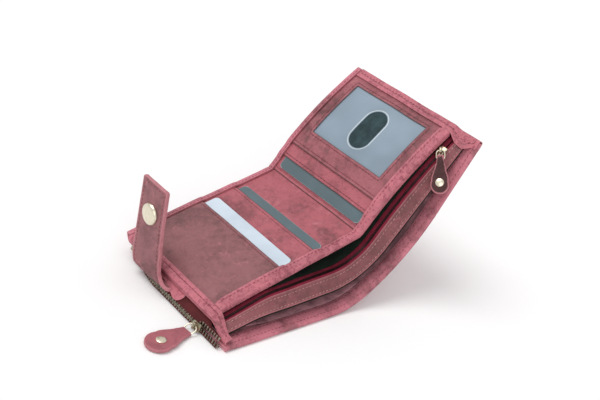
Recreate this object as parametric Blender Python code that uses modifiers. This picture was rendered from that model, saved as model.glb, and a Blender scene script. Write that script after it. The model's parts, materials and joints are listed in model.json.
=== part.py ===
"""Leather wallet, lying half open, with a bill zip, a coin zip and a strap.

Frame: metres, +Z up. X runs from the strap end to the window end, Y from the openings (negative) to
the closed edge, and the origin is on the ground under the middle of the flat left half of the cover.
"""
import math

import bmesh
import bpy
from mathutils import Matrix, Vector

# driving sizes of the card panel and the cover
CARD_LENGTH = 0.0854
CARD_MARGIN = 0.0126
OPEN_EDGE_Y = -0.039
PANEL_HEIGHT = CARD_LENGTH + CARD_MARGIN
COVER_OVERHANG = 0.020
PANEL_LEFT_LENGTH = 0.1194
PANEL_RIGHT_LENGTH = 0.0968
LEFT_END_X = -0.0455
LEFT_END_Z = 0.0130
LEFT_SLOPE = math.radians(16.0)
FOLD_RADIUS = 0.006
FOLD_TURN = math.radians(40.6)
RIGHT_CURL_RADIUS = 0.270
FOLD_MARGIN = math.radians(8.0)
CLEARANCE = 0.0003
LAYER_GAP = 0.0005

# leather, lining and tape
BASE_LEATHER = 0.0007
POCKET_LEATHER = 0.0006
BINDING_LEATHER = 0.0006
COVER_LEATHER = 0.0014
HEM_WIDTH = 0.009
TURNED_EDGE_WIDTH = 0.003
LINING = 0.0005
BINDING_WIDTH = 0.006
BASE_TOP_DEPTH = 0.0010
DRAPE_WIDTH = 0.006

# card pockets, as distances from the left end of the panel, and the cards in them
CARD_WIDTH = 0.054
CARD_THICKNESS = 0.00076
BIG_POCKET_EDGE = 0.058
LEFT_STRIP_EDGE = 0.0872
LEFT_STRIP_START = 0.030
PALE_CARD_EDGE = 0.069
PALE_CARD_TURN = math.radians(0.6)
GRAY_CARD_EDGE = 0.0948
RIGHT_STRIP_LOWER_LEAD = 0.0044
RIGHT_STRIP_UPPER_EDGE = 0.0097
WINDOW_PANEL_EDGE = 0.0211
DARK_CARD_EDGE = 0.0006
WINDOW_START = 0.0361
WINDOW_END_MARGIN = 0.0133
WINDOW_LENGTH = PANEL_RIGHT_LENGTH - WINDOW_START - WINDOW_END_MARGIN
WINDOW_HEIGHT = 0.0704
WINDOW_OPEN_SIDE_MARGIN = 0.0146
THUMB_SLOT_MARGIN = 0.0067
THUMB_SLOT_LENGTH = WINDOW_LENGTH - 2.0 * THUMB_SLOT_MARGIN
THUMB_SLOT_HEIGHT = 0.019
THUMB_SLOT_RISE = 0.0002
WINDOW_FILM = 0.0003

# opening-side lines of the layers behind the panel
ZIP_LINE_Y = -0.0422
DIVIDER_EDGE_Y = -0.051
SPREAD_WIDTH = 0.045
LAYER_START_X = -0.044
ZIP_START_Z = 0.0086
DIVIDER_START_Z = 0.0059
COVER_START_X = -0.0475
ZIP_START_SLOPE = math.radians(17.2)
ZIP_LEAD = 0.034
ZIP_DIP_RADIUS = 0.060
ZIP_DIP_TURN = math.radians(-12.9)
ZIP_FLAT_SHORTFALL = 0.0734
ZIP_FOLD_RADIUS = 0.043
ZIP_FOLD_TURN = math.radians(53.7)
ZIP_END_RADIUS = 0.300
ZIP_END_TURN = math.radians(-17.3)
DIVIDER_START_SLOPE = math.radians(12.7)
DIVIDER_LEAD = 0.020
DIVIDER_DIP_RADIUS = 0.060
DIVIDER_DIP_TURN = math.radians(-9.8)
DIVIDER_FLAT_SHORTFALL = 0.0629
DIVIDER_FOLD_GAP = 0.0175
DIVIDER_FOLD_RADIUS = ZIP_FOLD_RADIUS + DIVIDER_FOLD_GAP
DIVIDER_FOLD_TURN = math.radians(51.5)
DIVIDER_END_SHORTFALL = 0.0078
COVER_FLAT_SHORTFALL = 0.0319
COVER_FLAT_LENGTH = PANEL_LEFT_LENGTH - COVER_FLAT_SHORTFALL
COVER_FOLD_RADIUS = 0.058
COVER_FOLD_TURN = math.radians(35.0)
COVER_RISE_RADIUS = 0.150
COVER_RISE_TURN = math.radians(28.0)
COVER_END_SHORTFALL = 0.0423
BILL_TAPE_WIDTH = 0.0050
DIVIDER_LEATHER = 0.0009
CLAMP_SHARE = 0.35

# teeth, sliders and pulls
TOOTH_REACH = 0.0017
TOOTH_OVERLAP = 0.0008
TOOTH_BEAD = 0.0006
TEETH_THICKNESS = 0.0016
TOOTH_SLOPE_LENGTH = 0.00025
BILL_TOOTH_PITCH = 0.0032
COIN_TOOTH_PITCH = 0.0024
COIN_CHAIN_X = -0.0503
COIN_CHAIN_Z = 0.0032
COIN_CHAIN_LEAN = math.radians(20.0)
COIN_CHAIN_FAR_Y = 0.048
COIN_SLIDER_Y = -0.034
COIN_TEETH_END_Y = -0.054
COIN_TEETH_SPREAD = 0.0032
SLIDER_LENGTH = 0.0080
SLIDER_WIDTH = 0.0058
SLIDER_BACK_WIDTH = 0.0024
SLIDER_PLATE = 0.0009
SLIDER_POST_WIDTH = 0.0012
BRIDGE_LENGTH = 0.0016
BRIDGE_WIDTH = 0.0046
BRIDGE_RISE = 0.0030
BRIDGE_BAR = 0.0008
COIN_LOOP_LENGTH = 0.0080
COIN_LOOP_WIDTH = 0.0060
BILL_LOOP_LENGTH = 0.0057
BILL_LOOP_WIDTH = 0.0068
LOOP_CORNER = 0.0024
LOOP_WIRE_RADIUS = 0.0005
TAB_THICKNESS = 0.0026
TAB_TONGUE_WIDTH = 0.0030
TAB_TONGUE_LENGTH = 0.0030
TAB_HOLE_RADIUS = 0.0008
COIN_TAB_LENGTH = 0.034
COIN_TAB_NECK = 0.0100
COIN_TAB_ROUND = 0.0100
COIN_TAB_SWING = math.radians(6.0)
COIN_RIVET_RADIUS = 0.0033
BILL_TAB_LENGTH = 0.030
BILL_TAB_NECK = 0.0070
BILL_TAB_ROUND = 0.0068
BILL_TAB_SWING = math.radians(40.0)
BILL_RIVET_RADIUS = 0.0029
RIVET_RISE = 0.0010
BILL_SLIDER_SHARE = 0.82

# strap, snap and anchor patch
STRAP_WIDTH = 0.028
STRAP_TOP_WIDTH = 0.026
STRAP_THICKNESS = 0.0024
STRAP_CENTRE_Y = 0.0255
STRAP_ROOT_SHIFT = 0.004
STRAP_FACE_X = -0.0534
STRAP_CURL_RADIUS = 0.0032
STRAP_ROOT_RUN = 0.0020
STRAP_HINGE_Z = 0.0116
STRAP_LENGTH = 0.0605
STRAP_CORNER = 0.004
PATCH_LENGTH = 0.047
PATCH_REACH = 0.0021
PATCH_CENTRE_Y = 0.0155
CORNER_CUT_SHARE = 0.35
LEFT_BINDING_SHUT_SHARE = 0.55
SNAP_HEIGHT = 0.0385
SNAP_CAP_RADIUS = 0.0073
SNAP_CAP_RISE = 0.0030
SNAP_SOCKET_RADIUS = 0.0055
SNAP_SOCKET_DEPTH = 0.0025
SNAP_STUD_DEPTH = 0.0030
SNAP_STUD_INSET = 0.0132

UP = Vector((0.0, 0.0, 1.0))
SEWN_RAMP_START_SHARE = 1.25
SEWN_RAMP_SHARE = 0.3
POCKET_RISE_SHARES = (0.0, 0.017, 0.034, 0.051)
SLIDER_OUTLINE_SHARES = ((-1.0, 0.75), (-0.6, 0.95), (0.0, 0.85), (0.6, 1.0), (1.0, 0.9))
ROW_PARTING_SHARE = 0.7
SLIDER_GAP_SHARE = 1.5
TAB_WAIST_SHARE = 0.35
TAB_ROUND_START = math.radians(70.0)
TAB_ROUND_TURN = math.radians(110.0)
RIVET_DOME_SHARES = (0.35, 0.65, 0.87, 1.0)
RIVET_FLATNESS_SHARE = 0.8
PATCH_ROUNDNESS_SHARE = 0.98
PATCH_SHARES = (0.05, 0.5, 1.0)
STRAP_CORNER_SHARES = (0.6, 0.3, 0.1, 0.0)
CAP_DOME_SHARES = (0.3, 0.55, 0.75, 0.9, 1.0)
CAP_FLATNESS_SHARE = 0.9
STUD_KNOB_SHARE = 0.9
SLOT_AXIS_STEP = 0.01
MERGE_DISTANCE = 0.00001
SAMPLES = 240
ROUND_STEPS = 24


def clamp(value):
    return min(max(value, 0.0), 1.0)


def ease(value):
    """Smooth step from 0 to 1."""
    t = clamp(value)
    return t * t * (3.0 - 2.0 * t)


def mix(a, b, share):
    return a + (b - a) * share


def stations(start, end, count):
    """Evenly spaced values from start to end, both included."""
    return [mix(start, end, i / count) for i in range(count + 1)]


def xz(x, z, y=0.0):
    return Vector((x, y, z))


class Section:
    """A line in the XZ plane made of straights and arcs, walked by distance."""

    def __init__(self, x, z, heading):
        self.pieces = []
        self.x = x
        self.z = z
        self.heading = heading
        self.length = 0.0

    def add(self, length, curvature):
        self.pieces.append((self.length, self.x, self.z, self.heading, curvature))
        self.x, self.z, self.heading = self.step(self.x, self.z, self.heading, curvature, length)
        self.length += length
        return self

    def straight(self, length):
        return self.add(length, 0.0)

    def arc(self, radius, turn):
        return self.add(radius * abs(turn), math.copysign(1.0 / radius, turn))

    @staticmethod
    def step(x, z, heading, curvature, length):
        if curvature == 0.0:
            return x + length * math.cos(heading), z + length * math.sin(heading), heading
        end = heading + curvature * length
        x += (math.sin(end) - math.sin(heading)) / curvature
        z += (math.cos(heading) - math.cos(end)) / curvature
        return x, z, end

    def at(self, distance):
        """Point and heading at a distance; before the start and past the end it runs straight on."""
        if distance >= self.length:
            over = distance - self.length
            return self.step(self.x, self.z, self.heading, 0.0, over)
        chosen = self.pieces[0]
        for piece in self.pieces:
            if piece[0] <= distance:
                chosen = piece
        begin, x, z, heading, curvature = chosen
        if distance < 0.0:
            curvature = 0.0
        return self.step(x, z, heading, curvature, distance - begin)

    def beside(self, distance, depth):
        """Point at a depth on the outer side of the line."""
        x, z, heading = self.at(distance)
        return xz(x + depth * math.sin(heading), z - depth * math.cos(heading))


RIGHT_TURN = PANEL_RIGHT_LENGTH / RIGHT_CURL_RADIUS
FACE = (Section(LEFT_END_X, LEFT_END_Z, LEFT_SLOPE)
        .straight(PANEL_LEFT_LENGTH)
        .arc(FOLD_RADIUS, FOLD_TURN)
        .arc(RIGHT_CURL_RADIUS, -RIGHT_TURN))
FOLD_LENGTH = FOLD_RADIUS * FOLD_TURN
FOLD_AXIS = FACE.beside(PANEL_LEFT_LENGTH, -FOLD_RADIUS)
RIGHT_START = PANEL_LEFT_LENGTH + FOLD_LENGTH
LEFT_RAY = LEFT_SLOPE - math.pi / 2.0 - FOLD_MARGIN
RIGHT_RAY = LEFT_SLOPE + FOLD_TURN - math.pi / 2.0 + FOLD_MARGIN
CLOSED_EDGE_Y = OPEN_EDGE_Y + PANEL_HEIGHT
COVER_EDGE_Y = OPEN_EDGE_Y - COVER_OVERHANG


def stack(s, depth):
    """Point of the flat stack at a depth under the card face.

    s runs from 0 to 1 over the left half, to 2 round the fold and to 3 over the right half.
    """
    reach = FOLD_RADIUS + depth
    set_back = reach * math.tan(FOLD_MARGIN)
    if s <= 1.0:
        return FACE.beside(s * (PANEL_LEFT_LENGTH - set_back), depth)
    if s >= 2.0:
        run = PANEL_RIGHT_LENGTH - set_back
        return FACE.beside(RIGHT_START + set_back + (s - 2.0) * run, depth)
    angle = mix(LEFT_RAY, RIGHT_RAY, s - 1.0)
    beyond = max(LEFT_RAY + FOLD_MARGIN - angle, angle - RIGHT_RAY + FOLD_MARGIN, 0.0)
    radius = reach / math.cos(beyond)
    return FOLD_AXIS + radius * xz(math.cos(angle), math.sin(angle))


def share_at(distance):
    """s of a distance along the card face from the left end of the panel."""
    if distance <= PANEL_LEFT_LENGTH:
        return distance / PANEL_LEFT_LENGTH
    return 2.0 + (distance - RIGHT_START) / PANEL_RIGHT_LENGTH


class Guide:
    """The line that a layer follows at the opening side, shared out like the stack."""

    def __init__(self, section):
        self.section = section
        self.steps = stations(0.0, section.length, SAMPLES)
        self.angles = [self.angle(d) for d in self.steps]
        self.left = self.at_angle(LEFT_RAY)
        self.right = self.at_angle(RIGHT_RAY)

    def angle(self, distance):
        x, z, _heading = self.section.at(distance)
        return math.atan2(z - FOLD_AXIS.z, x - FOLD_AXIS.x)

    def at_angle(self, angle):
        for i in range(SAMPLES):
            if self.angles[i] <= angle <= self.angles[i + 1]:
                share = (angle - self.angles[i]) / (self.angles[i + 1] - self.angles[i])
                return mix(self.steps[i], self.steps[i + 1], share)
        return self.section.length

    def distance(self, s):
        if s <= 1.0:
            return s * self.left
        if s >= 2.0:
            return mix(self.right, self.section.length, s - 2.0)
        return self.at_angle(mix(LEFT_RAY, RIGHT_RAY, s - 1.0))

    def at(self, s, depth=0.0):
        return self.section.beside(self.distance(s), depth)


ZIP_SECTION = (Section(LAYER_START_X, ZIP_START_Z, ZIP_START_SLOPE)
               .straight(ZIP_LEAD)
               .arc(ZIP_DIP_RADIUS, ZIP_DIP_TURN)
               .straight(PANEL_LEFT_LENGTH - ZIP_FLAT_SHORTFALL)
               .arc(ZIP_FOLD_RADIUS, ZIP_FOLD_TURN)
               .arc(ZIP_END_RADIUS, ZIP_END_TURN))
DIVIDER_SECTION = (Section(LAYER_START_X, DIVIDER_START_Z, DIVIDER_START_SLOPE)
                   .straight(DIVIDER_LEAD)
                   .arc(DIVIDER_DIP_RADIUS, DIVIDER_DIP_TURN)
                   .straight(PANEL_LEFT_LENGTH - DIVIDER_FLAT_SHORTFALL)
                   .arc(DIVIDER_FOLD_RADIUS, DIVIDER_FOLD_TURN)
                   .straight(PANEL_RIGHT_LENGTH - DIVIDER_END_SHORTFALL))
COVER_SECTION = (Section(COVER_START_X, COVER_LEATHER / 2.0, 0.0)
                 .straight(COVER_FLAT_LENGTH)
                 .arc(COVER_FOLD_RADIUS, COVER_FOLD_TURN)
                 .arc(COVER_RISE_RADIUS, COVER_RISE_TURN)
                 .straight(PANEL_RIGHT_LENGTH - COVER_END_SHORTFALL))
ZIP_GUIDE = Guide(ZIP_SECTION)
DIVIDER_GUIDE = Guide(DIVIDER_SECTION)
COVER_GUIDE = Guide(COVER_SECTION)

# middle depths of the flat layers under the card face
BASE_DEPTH = BASE_TOP_DEPTH + BASE_LEATHER / 2.0
LEG_DEPTH = BASE_TOP_DEPTH + BASE_LEATHER + CLEARANCE + BINDING_LEATHER / 2.0
PANEL_DEPTH = LEG_DEPTH + BINDING_LEATHER / 2.0 + CLEARANCE + LINING / 2.0
BACK_DEPTH = PANEL_DEPTH + LINING + LAYER_GAP
COIN_DEPTH = BACK_DEPTH + LINING + LAYER_GAP
COVER_DEPTH = COIN_DEPTH + LINING / 2.0 + LAYER_GAP + COVER_LEATHER / 2.0
POCKET_STEP = POCKET_LEATHER + CLEARANCE
HEM_STEP = COVER_LEATHER + CLEARANCE


def free_spread(y):
    """How far a layer that nothing holds has left the flat stack for its opening-side line."""
    return ease((CLOSED_EDGE_Y - y) / SPREAD_WIDTH)


def pinned_spread(y):
    """The same for a layer that an end binding holds in the stack as far as the openings."""
    hold = OPEN_EDGE_Y / 2.0
    return ease((hold - y) / (hold - ZIP_LINE_Y))


def spread(s, y):
    return mix(pinned_spread(y), free_spread(y), ease(min(s, 3.0 - s) / CLAMP_SHARE))


def cover_spread(s, y):
    return mix(pinned_spread(y), free_spread(y), ease((3.0 - s) / CLAMP_SHARE))


def with_y(point, y):
    return Vector((point.x, y, point.z))


def zip_surface(s, y, depth=0.0):
    """The lining panel, then the zip tape, then the divider strip down to its free edge."""
    upper = stack(s, PANEL_DEPTH + depth).lerp(ZIP_GUIDE.at(s, depth), spread(s, y))
    drop = ease((ZIP_LINE_Y - y) / (ZIP_LINE_Y - DIVIDER_EDGE_Y))
    return with_y(upper.lerp(DIVIDER_GUIDE.at(s, depth), drop), y)


BACK_OFFSET = DIVIDER_LEATHER / 2.0 + LAYER_GAP + LINING / 2.0
COIN_OFFSET = BACK_OFFSET + LINING + LAYER_GAP
COIN_ABOVE_COVER = -(COVER_LEATHER / 2.0 + 2.0 * LAYER_GAP + LINING / 2.0)


def back_surface(s, y):
    point = stack(s, BACK_DEPTH).lerp(DIVIDER_GUIDE.at(s, BACK_OFFSET), spread(s, y))
    return with_y(point, y)


def coin_surface(s, y):
    low = COVER_GUIDE.at(s, COIN_ABOVE_COVER)
    guide = DIVIDER_GUIDE.at(s, COIN_OFFSET).lerp(low, ease(s / CLAMP_SHARE))
    return with_y(stack(s, COIN_DEPTH).lerp(guide, spread(s, y)), y)


def cover_surface(s, y, rise=0.0):
    point = stack(s, COVER_DEPTH - rise).lerp(COVER_GUIDE.at(s, -rise), cover_spread(s, y))
    return with_y(point, y)


COLLECTION = None


def start_scene():
    """Empty the scene and make the collection for the wallet and the one for its cutters."""
    global COLLECTION
    for old in list(bpy.data.objects):
        bpy.data.objects.remove(old)
    COLLECTION = bpy.data.collections.new("Wallet")
    cutters = bpy.data.collections.new("Cutters")
    for collection in (COLLECTION, cutters):
        bpy.context.scene.collection.children.link(collection)
    return cutters


def material(name, colour, roughness, metallic=0.0):
    made = bpy.data.materials.new(name)
    made.use_nodes = True
    shader = made.node_tree.nodes["Principled BSDF"]
    shader.inputs["Base Color"].default_value = (*colour, 1.0)
    shader.inputs["Roughness"].default_value = roughness
    shader.inputs["Metallic"].default_value = metallic
    return made


def keep(name, mesh, look, collection=None):
    thing = bpy.data.objects.new(name, mesh)
    (collection or COLLECTION).objects.link(thing)
    if look:
        own = look.copy()
        own.name = f"{name}_{look.name}"
        mesh.materials.append(own)
    return thing


def sheet(name, look, place, us, vs, thickness):
    """A leather or cloth sheet: a grid laid out by place(u, v) and thickened about its middle."""
    columns = len(us) - 1
    rows = len(vs) - 1
    shape = bmesh.new()
    bmesh.ops.create_grid(shape, x_segments=columns, y_segments=rows, size=1)
    for vertex in shape.verts:
        u = us[round((vertex.co.x + 1) / 2 * columns)]
        v = vs[round((vertex.co.y + 1) / 2 * rows)]
        vertex.co = place(u, v)
    mesh = bpy.data.meshes.new(name)
    shape.to_mesh(mesh)
    shape.free()
    thing = keep(name, mesh, look)
    solid = thing.modifiers.new("Thickness", "SOLIDIFY")
    solid.thickness = thickness
    solid.offset = 0.0
    solid.use_even_offset = True
    return thing


def drop_faces(thing, inside):
    """Take out the faces of a sheet whose middle lies inside the opening."""
    shape = bmesh.new()
    shape.from_mesh(thing.data)
    gone = [face for face in shape.faces if inside(face.calc_center_median())]
    bmesh.ops.delete(shape, geom=gone, context="FACES")
    shape.to_mesh(thing.data)
    shape.free()


def prism(name, look, outline, thickness, frame, collection=None):
    """A flat outline with a thickness, centred on the frame's XY plane."""
    shape = bmesh.new()
    corners = [shape.verts.new((x, y, -thickness / 2.0)) for x, y in outline]
    face = shape.faces.new(corners)
    raised = bmesh.ops.extrude_face_region(shape, geom=[face])
    lifted = [part for part in raised["geom"] if isinstance(part, bmesh.types.BMVert)]
    bmesh.ops.translate(shape, verts=lifted, vec=(0.0, 0.0, thickness))
    bmesh.ops.recalc_face_normals(shape, faces=shape.faces)
    mesh = bpy.data.meshes.new(name)
    shape.to_mesh(mesh)
    shape.free()
    thing = keep(name, mesh, look, collection)
    thing.matrix_world = frame
    return thing


def box(name, size, centre, frame, collection=None, look=None):
    shape = bmesh.new()
    bmesh.ops.create_cube(shape, size=1)
    bmesh.ops.scale(shape, vec=size, verts=shape.verts)
    bmesh.ops.translate(shape, vec=centre, verts=shape.verts)
    mesh = bpy.data.meshes.new(name)
    shape.to_mesh(mesh)
    shape.free()
    thing = keep(name, mesh, look, collection)
    thing.matrix_world = frame
    return thing


def rod(name, radius, length, frame, collection):
    """A cutter bar along the frame's Z axis."""
    shape = bmesh.new()
    bmesh.ops.create_cone(shape, cap_ends=True, segments=12, radius1=radius, radius2=radius,
                          depth=length)
    mesh = bpy.data.meshes.new(name)
    shape.to_mesh(mesh)
    shape.free()
    thing = keep(name, mesh, None, collection)
    thing.matrix_world = frame
    return thing


def combine(target, tool, operation):
    """Join or cut with a tool that stays in the cutters' collection."""
    tool.hide_render = True
    tool.display_type = "WIRE"
    step = target.modifiers.new(f"{operation.title()} {tool.name}", "BOOLEAN")
    step.operation = operation
    step.object = tool


def turned(name, look, profile, frame, steps=ROUND_STEPS):
    """A round piece: a half outline from top to bottom, turned about the frame's Z axis."""
    mesh = bpy.data.meshes.new(name)
    edges = [(i, i + 1) for i in range(len(profile) - 1)]
    mesh.from_pydata([(radius, 0.0, height) for radius, height in profile], edges, [])
    thing = keep(name, mesh, look)
    screw = thing.modifiers.new("Turn", "SCREW")
    screw.steps = steps
    screw.render_steps = steps
    screw.use_merge_vertices = True
    screw.merge_threshold = MERGE_DISTANCE
    screw.use_smooth_shade = True
    thing.matrix_world = frame
    return thing


def frame_of(origin, x_axis, z_axis):
    """A frame whose X and Z axes point as given."""
    x_axis = x_axis.normalized()
    z_axis = (z_axis - z_axis.dot(x_axis) * x_axis).normalized()
    y_axis = z_axis.cross(x_axis)
    turn = Matrix((x_axis, y_axis, z_axis)).transposed().to_4x4()
    return Matrix.Translation(origin) @ turn


# where each panel starts and ends in s, with a clearance at the fold's two rays
GAP_SHARE = CLEARANCE / PANEL_LEFT_LENGTH
LEFT_END = 1.0 - GAP_SHARE
RIGHT_BEGIN = 2.0 + GAP_SHARE
FOLD_STATIONS = stations(1.0, 2.0, 6)
LEFT_STATIONS = stations(0.0, LEFT_END, 9)
LEG_SHARE = (BINDING_WIDTH + CLEARANCE) / PANEL_RIGHT_LENGTH
RIGHT_LEG_SHARES = [3.0 - LEG_SHARE - DRAPE_WIDTH / 2.0 / PANEL_RIGHT_LENGTH, 3.0 - LEG_SHARE, 3.0]
RIGHT_STATIONS = stations(RIGHT_BEGIN, RIGHT_LEG_SHARES[1], 7) + [3.0]
FLAT_LEFT_STATIONS = [0.0, LEFT_END]
RAMP_SHARES = (0.0, 0.14, 0.28, 0.44, 0.62, 0.8, 1.0)
RAMP_YS = [CLOSED_EDGE_Y - SPREAD_WIDTH * share for share in RAMP_SHARES]
HOLD_YS = stations(OPEN_EDGE_Y / 2.0, ZIP_LINE_Y, 3)


def three_parts(name, look, place, vs, thickness, left=None, right=None):
    """A layer that runs over both halves: a left sheet, a flexing fold and a right sheet."""
    sheet(f"{name}_left", look, place, left or LEFT_STATIONS, vs, thickness)
    sheet(f"{name}_fold", look, place, FOLD_STATIONS, vs, thickness)
    sheet(f"{name}_right", look, place, right or RIGHT_STATIONS, vs, thickness)


def make_cover(look):
    """One leather per part: hem turned in at the openings, and turned over the closed edge."""
    hem_radius = HEM_STEP / 2.0
    outer_y = COVER_EDGE_Y + hem_radius
    hem_ys = stations(outer_y + HEM_WIDTH, outer_y, 2)
    turn_steps = 4
    far_y = CLOSED_EDGE_Y + CLEARANCE + COVER_LEATHER / 2.0

    def top_rise(s):
        return COVER_DEPTH + panel_top(s) + CLEARANCE + COVER_LEATHER / 2.0

    def place(s, v):
        kind, value = v
        if kind == "hem":
            return cover_surface(s, value, HEM_STEP)
        if kind == "turn":
            angle = math.pi * value
            y = outer_y - hem_radius * math.sin(angle)
            return cover_surface(s, y, hem_radius * (1.0 + math.cos(angle)))
        if kind == "body":
            return cover_surface(s, value)
        rise, y_share = value
        y = mix(far_y, CLOSED_EDGE_Y - TURNED_EDGE_WIDTH, y_share)
        point = cover_surface(s, CLOSED_EDGE_Y, rise * top_rise(s))
        return with_y(point, y)

    body_ys = [outer_y] + list(reversed(RAMP_YS[1:] + HOLD_YS))
    vs = [("hem", y) for y in hem_ys]
    vs += [("turn", i / turn_steps) for i in range(1, turn_steps)]
    vs += [("body", y) for y in body_ys]
    vs += [("edge", (0.0, 0.0)), ("edge", (1.0, 0.0)), ("edge", (1.0, 1.0))]
    three_parts("cover", look, place, vs, COVER_LEATHER, left=with_steps(LEFT_STATIONS),
                right=with_steps(RIGHT_STATIONS))


LAYER_RAMP = 0.045


def slot_shares():
    """s of the four slot edges that step up the sewn stack: left pocket and strip, right strip and frame."""
    return (share_at(BIG_POCKET_EDGE), share_at(LEFT_STRIP_EDGE),
            2.0 + RIGHT_STRIP_UPPER_EDGE / PANEL_RIGHT_LENGTH, 2.0 + WINDOW_PANEL_EDGE / PANEL_RIGHT_LENGTH)


def with_steps(spots):
    """Stations with those of the slot edges and their ramps added, without near doubles."""
    pocket, strip, upper, frame = slot_shares()
    keys = [pocket, pocket + LAYER_RAMP, strip, strip + LAYER_RAMP]
    keys += [upper - LAYER_RAMP, upper, frame - LAYER_RAMP, frame]
    keys = [key for key in keys if spots[0] < key < spots[-1]]
    apart = [spot for spot in spots[1:-1] if all(abs(spot - key) > LAYER_RAMP / 3.0 for key in keys)]
    return sorted([spots[0], spots[-1]] + keys + apart)


def sewn_layers(s):
    """How many pocket leathers lie in the sewn edge, ramping down past each slot edge."""
    pocket, strip, upper, frame = slot_shares()
    if s <= 1.0:
        return 2.0 - ease((s - pocket) / LAYER_RAMP) - ease((s - strip) / LAYER_RAMP)
    if s < 2.0:
        return ease((s - SEWN_RAMP_START_SHARE) / SEWN_RAMP_SHARE)
    return 1.0 + ease((s - upper) / LAYER_RAMP + 1.0) + ease((s - frame) / LAYER_RAMP + 1.0)


def panel_top(s):
    """Height of the flat, sewn pocket stack over the card face."""
    return sewn_layers(s) * POCKET_STEP - BASE_TOP_DEPTH


def drape(y):
    """How much of a card's thickness a pocket rises by, from the sewn edges inwards."""
    open_side = (y - OPEN_EDGE_Y) / DRAPE_WIDTH
    closed_side = (CLOSED_EDGE_Y - TURNED_EDGE_WIDTH - y) / (DRAPE_WIDTH - TURNED_EDGE_WIDTH)
    return ease(min(open_side, closed_side))


OPEN_DRAPE_YS = [OPEN_EDGE_Y + DRAPE_WIDTH * share for share in (0.0, 0.35, 0.65, 1.0)]
DRAPE_YS = OPEN_DRAPE_YS + [CLOSED_EDGE_Y - DRAPE_WIDTH, CLOSED_EDGE_Y - TURNED_EDGE_WIDTH, CLOSED_EDGE_Y]


def right_end_drape(s):
    """Brings the right pockets down again before the end binding's leg."""
    return ease(((3.0 - s) * PANEL_RIGHT_LENGTH - BINDING_WIDTH - CLEARANCE) / (DRAPE_WIDTH / 2.0))


def pocket_place(layer, cards, start=None):
    """Middle of a pocket leather: the number of leathers under it and of cards it rises over."""
    def place(s, y):
        rise = cards * (CARD_THICKNESS + CLEARANCE) * drape(y)
        if start is not None:
            rise *= ease((s - start) / (DRAPE_WIDTH / PANEL_LEFT_LENGTH))
        if s > 2.0:
            rise *= right_end_drape(s)
        height = (layer - 1) * POCKET_STEP + CLEARANCE + POCKET_LEATHER / 2.0 + rise
        return with_y(stack(s, BASE_TOP_DEPTH - height), y)
    return place


def card(name, look, near_s, layers, cards, turn, right=False):
    """A card standing out of its slot, at the height that the leathers under it give."""
    below = layers * POCKET_STEP + cards * (CARD_THICKNESS + CLEARANCE)
    depth = BASE_TOP_DEPTH - below - CLEARANCE - CARD_THICKNESS / 2.0
    centre_y = (OPEN_EDGE_Y + CLOSED_EDGE_Y) / 2.0
    ys = [centre_y - CARD_LENGTH / 2.0, centre_y + CARD_LENGTH / 2.0]
    length = PANEL_RIGHT_LENGTH if right else PANEL_LEFT_LENGTH
    direction = 1.0 if right else -1.0
    spots = stations(near_s, near_s + direction * CARD_WIDTH / length, 5 if right else 1)

    def place(s, y):
        return with_y(stack(s + math.tan(turn) * (y - centre_y) / length, depth), y)

    return sheet(name, look, place, spots, ys, CARD_THICKNESS)


def make_panel(looks):
    """The card panel: base leather, pockets, window, cards and the opening edge's binding."""
    def base(s, y):
        return with_y(stack(s, BASE_DEPTH), y)

    edge_ys = [OPEN_EDGE_Y, CLOSED_EDGE_Y]
    three_parts("panel", looks["rose"], base, edge_ys, BASE_LEATHER, left=FLAT_LEFT_STATIONS)

    strip_s = [share_at(LEFT_STRIP_START), share_at(LEFT_STRIP_EDGE)]
    sheet("card_strip_left", looks["rose"], pocket_place(1, 1), strip_s, DRAPE_YS, POCKET_LEATHER)
    rise_start = share_at(BINDING_WIDTH)
    big_s = [0.0] + [rise_start + share for share in POCKET_RISE_SHARES]
    big_s.append(share_at(BIG_POCKET_EDGE))
    sheet("big_pocket", looks["dusk"], pocket_place(2, 2, rise_start), big_s, DRAPE_YS,
          POCKET_LEATHER)

    fold_lead = RIGHT_STRIP_LOWER_LEAD / (FOLD_LENGTH + RIGHT_STRIP_LOWER_LEAD)
    sheet("card_strip_fold", looks["rose"], pocket_place(1, 0), stations(2.0 - fold_lead, 2.0, 3),
          edge_ys, POCKET_LEATHER)
    lower_s = stations(RIGHT_BEGIN, 3.0, 8)
    sheet("card_strip_lower", looks["rose"], pocket_place(1, 0), lower_s, edge_ys, POCKET_LEATHER)
    upper_s = stations(slot_shares()[2], RIGHT_LEG_SHARES[0], 6) + RIGHT_LEG_SHARES[1:]
    sheet("card_strip_upper", looks["rose"], pocket_place(2, 1), upper_s, DRAPE_YS, POCKET_LEATHER)
    make_window(looks)

    card("card_pale", looks["pale"], share_at(PALE_CARD_EDGE), 1, 1, PALE_CARD_TURN)
    card("card_gray", looks["gray"], share_at(GRAY_CARD_EDGE), 0, 0, 0.0)
    dark_s = RIGHT_BEGIN + DARK_CARD_EDGE / PANEL_RIGHT_LENGTH
    card("card_dark", looks["gray"], dark_s, 1, 0, 0.0, right=True)
    make_edge_binding(looks["binding"])


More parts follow.
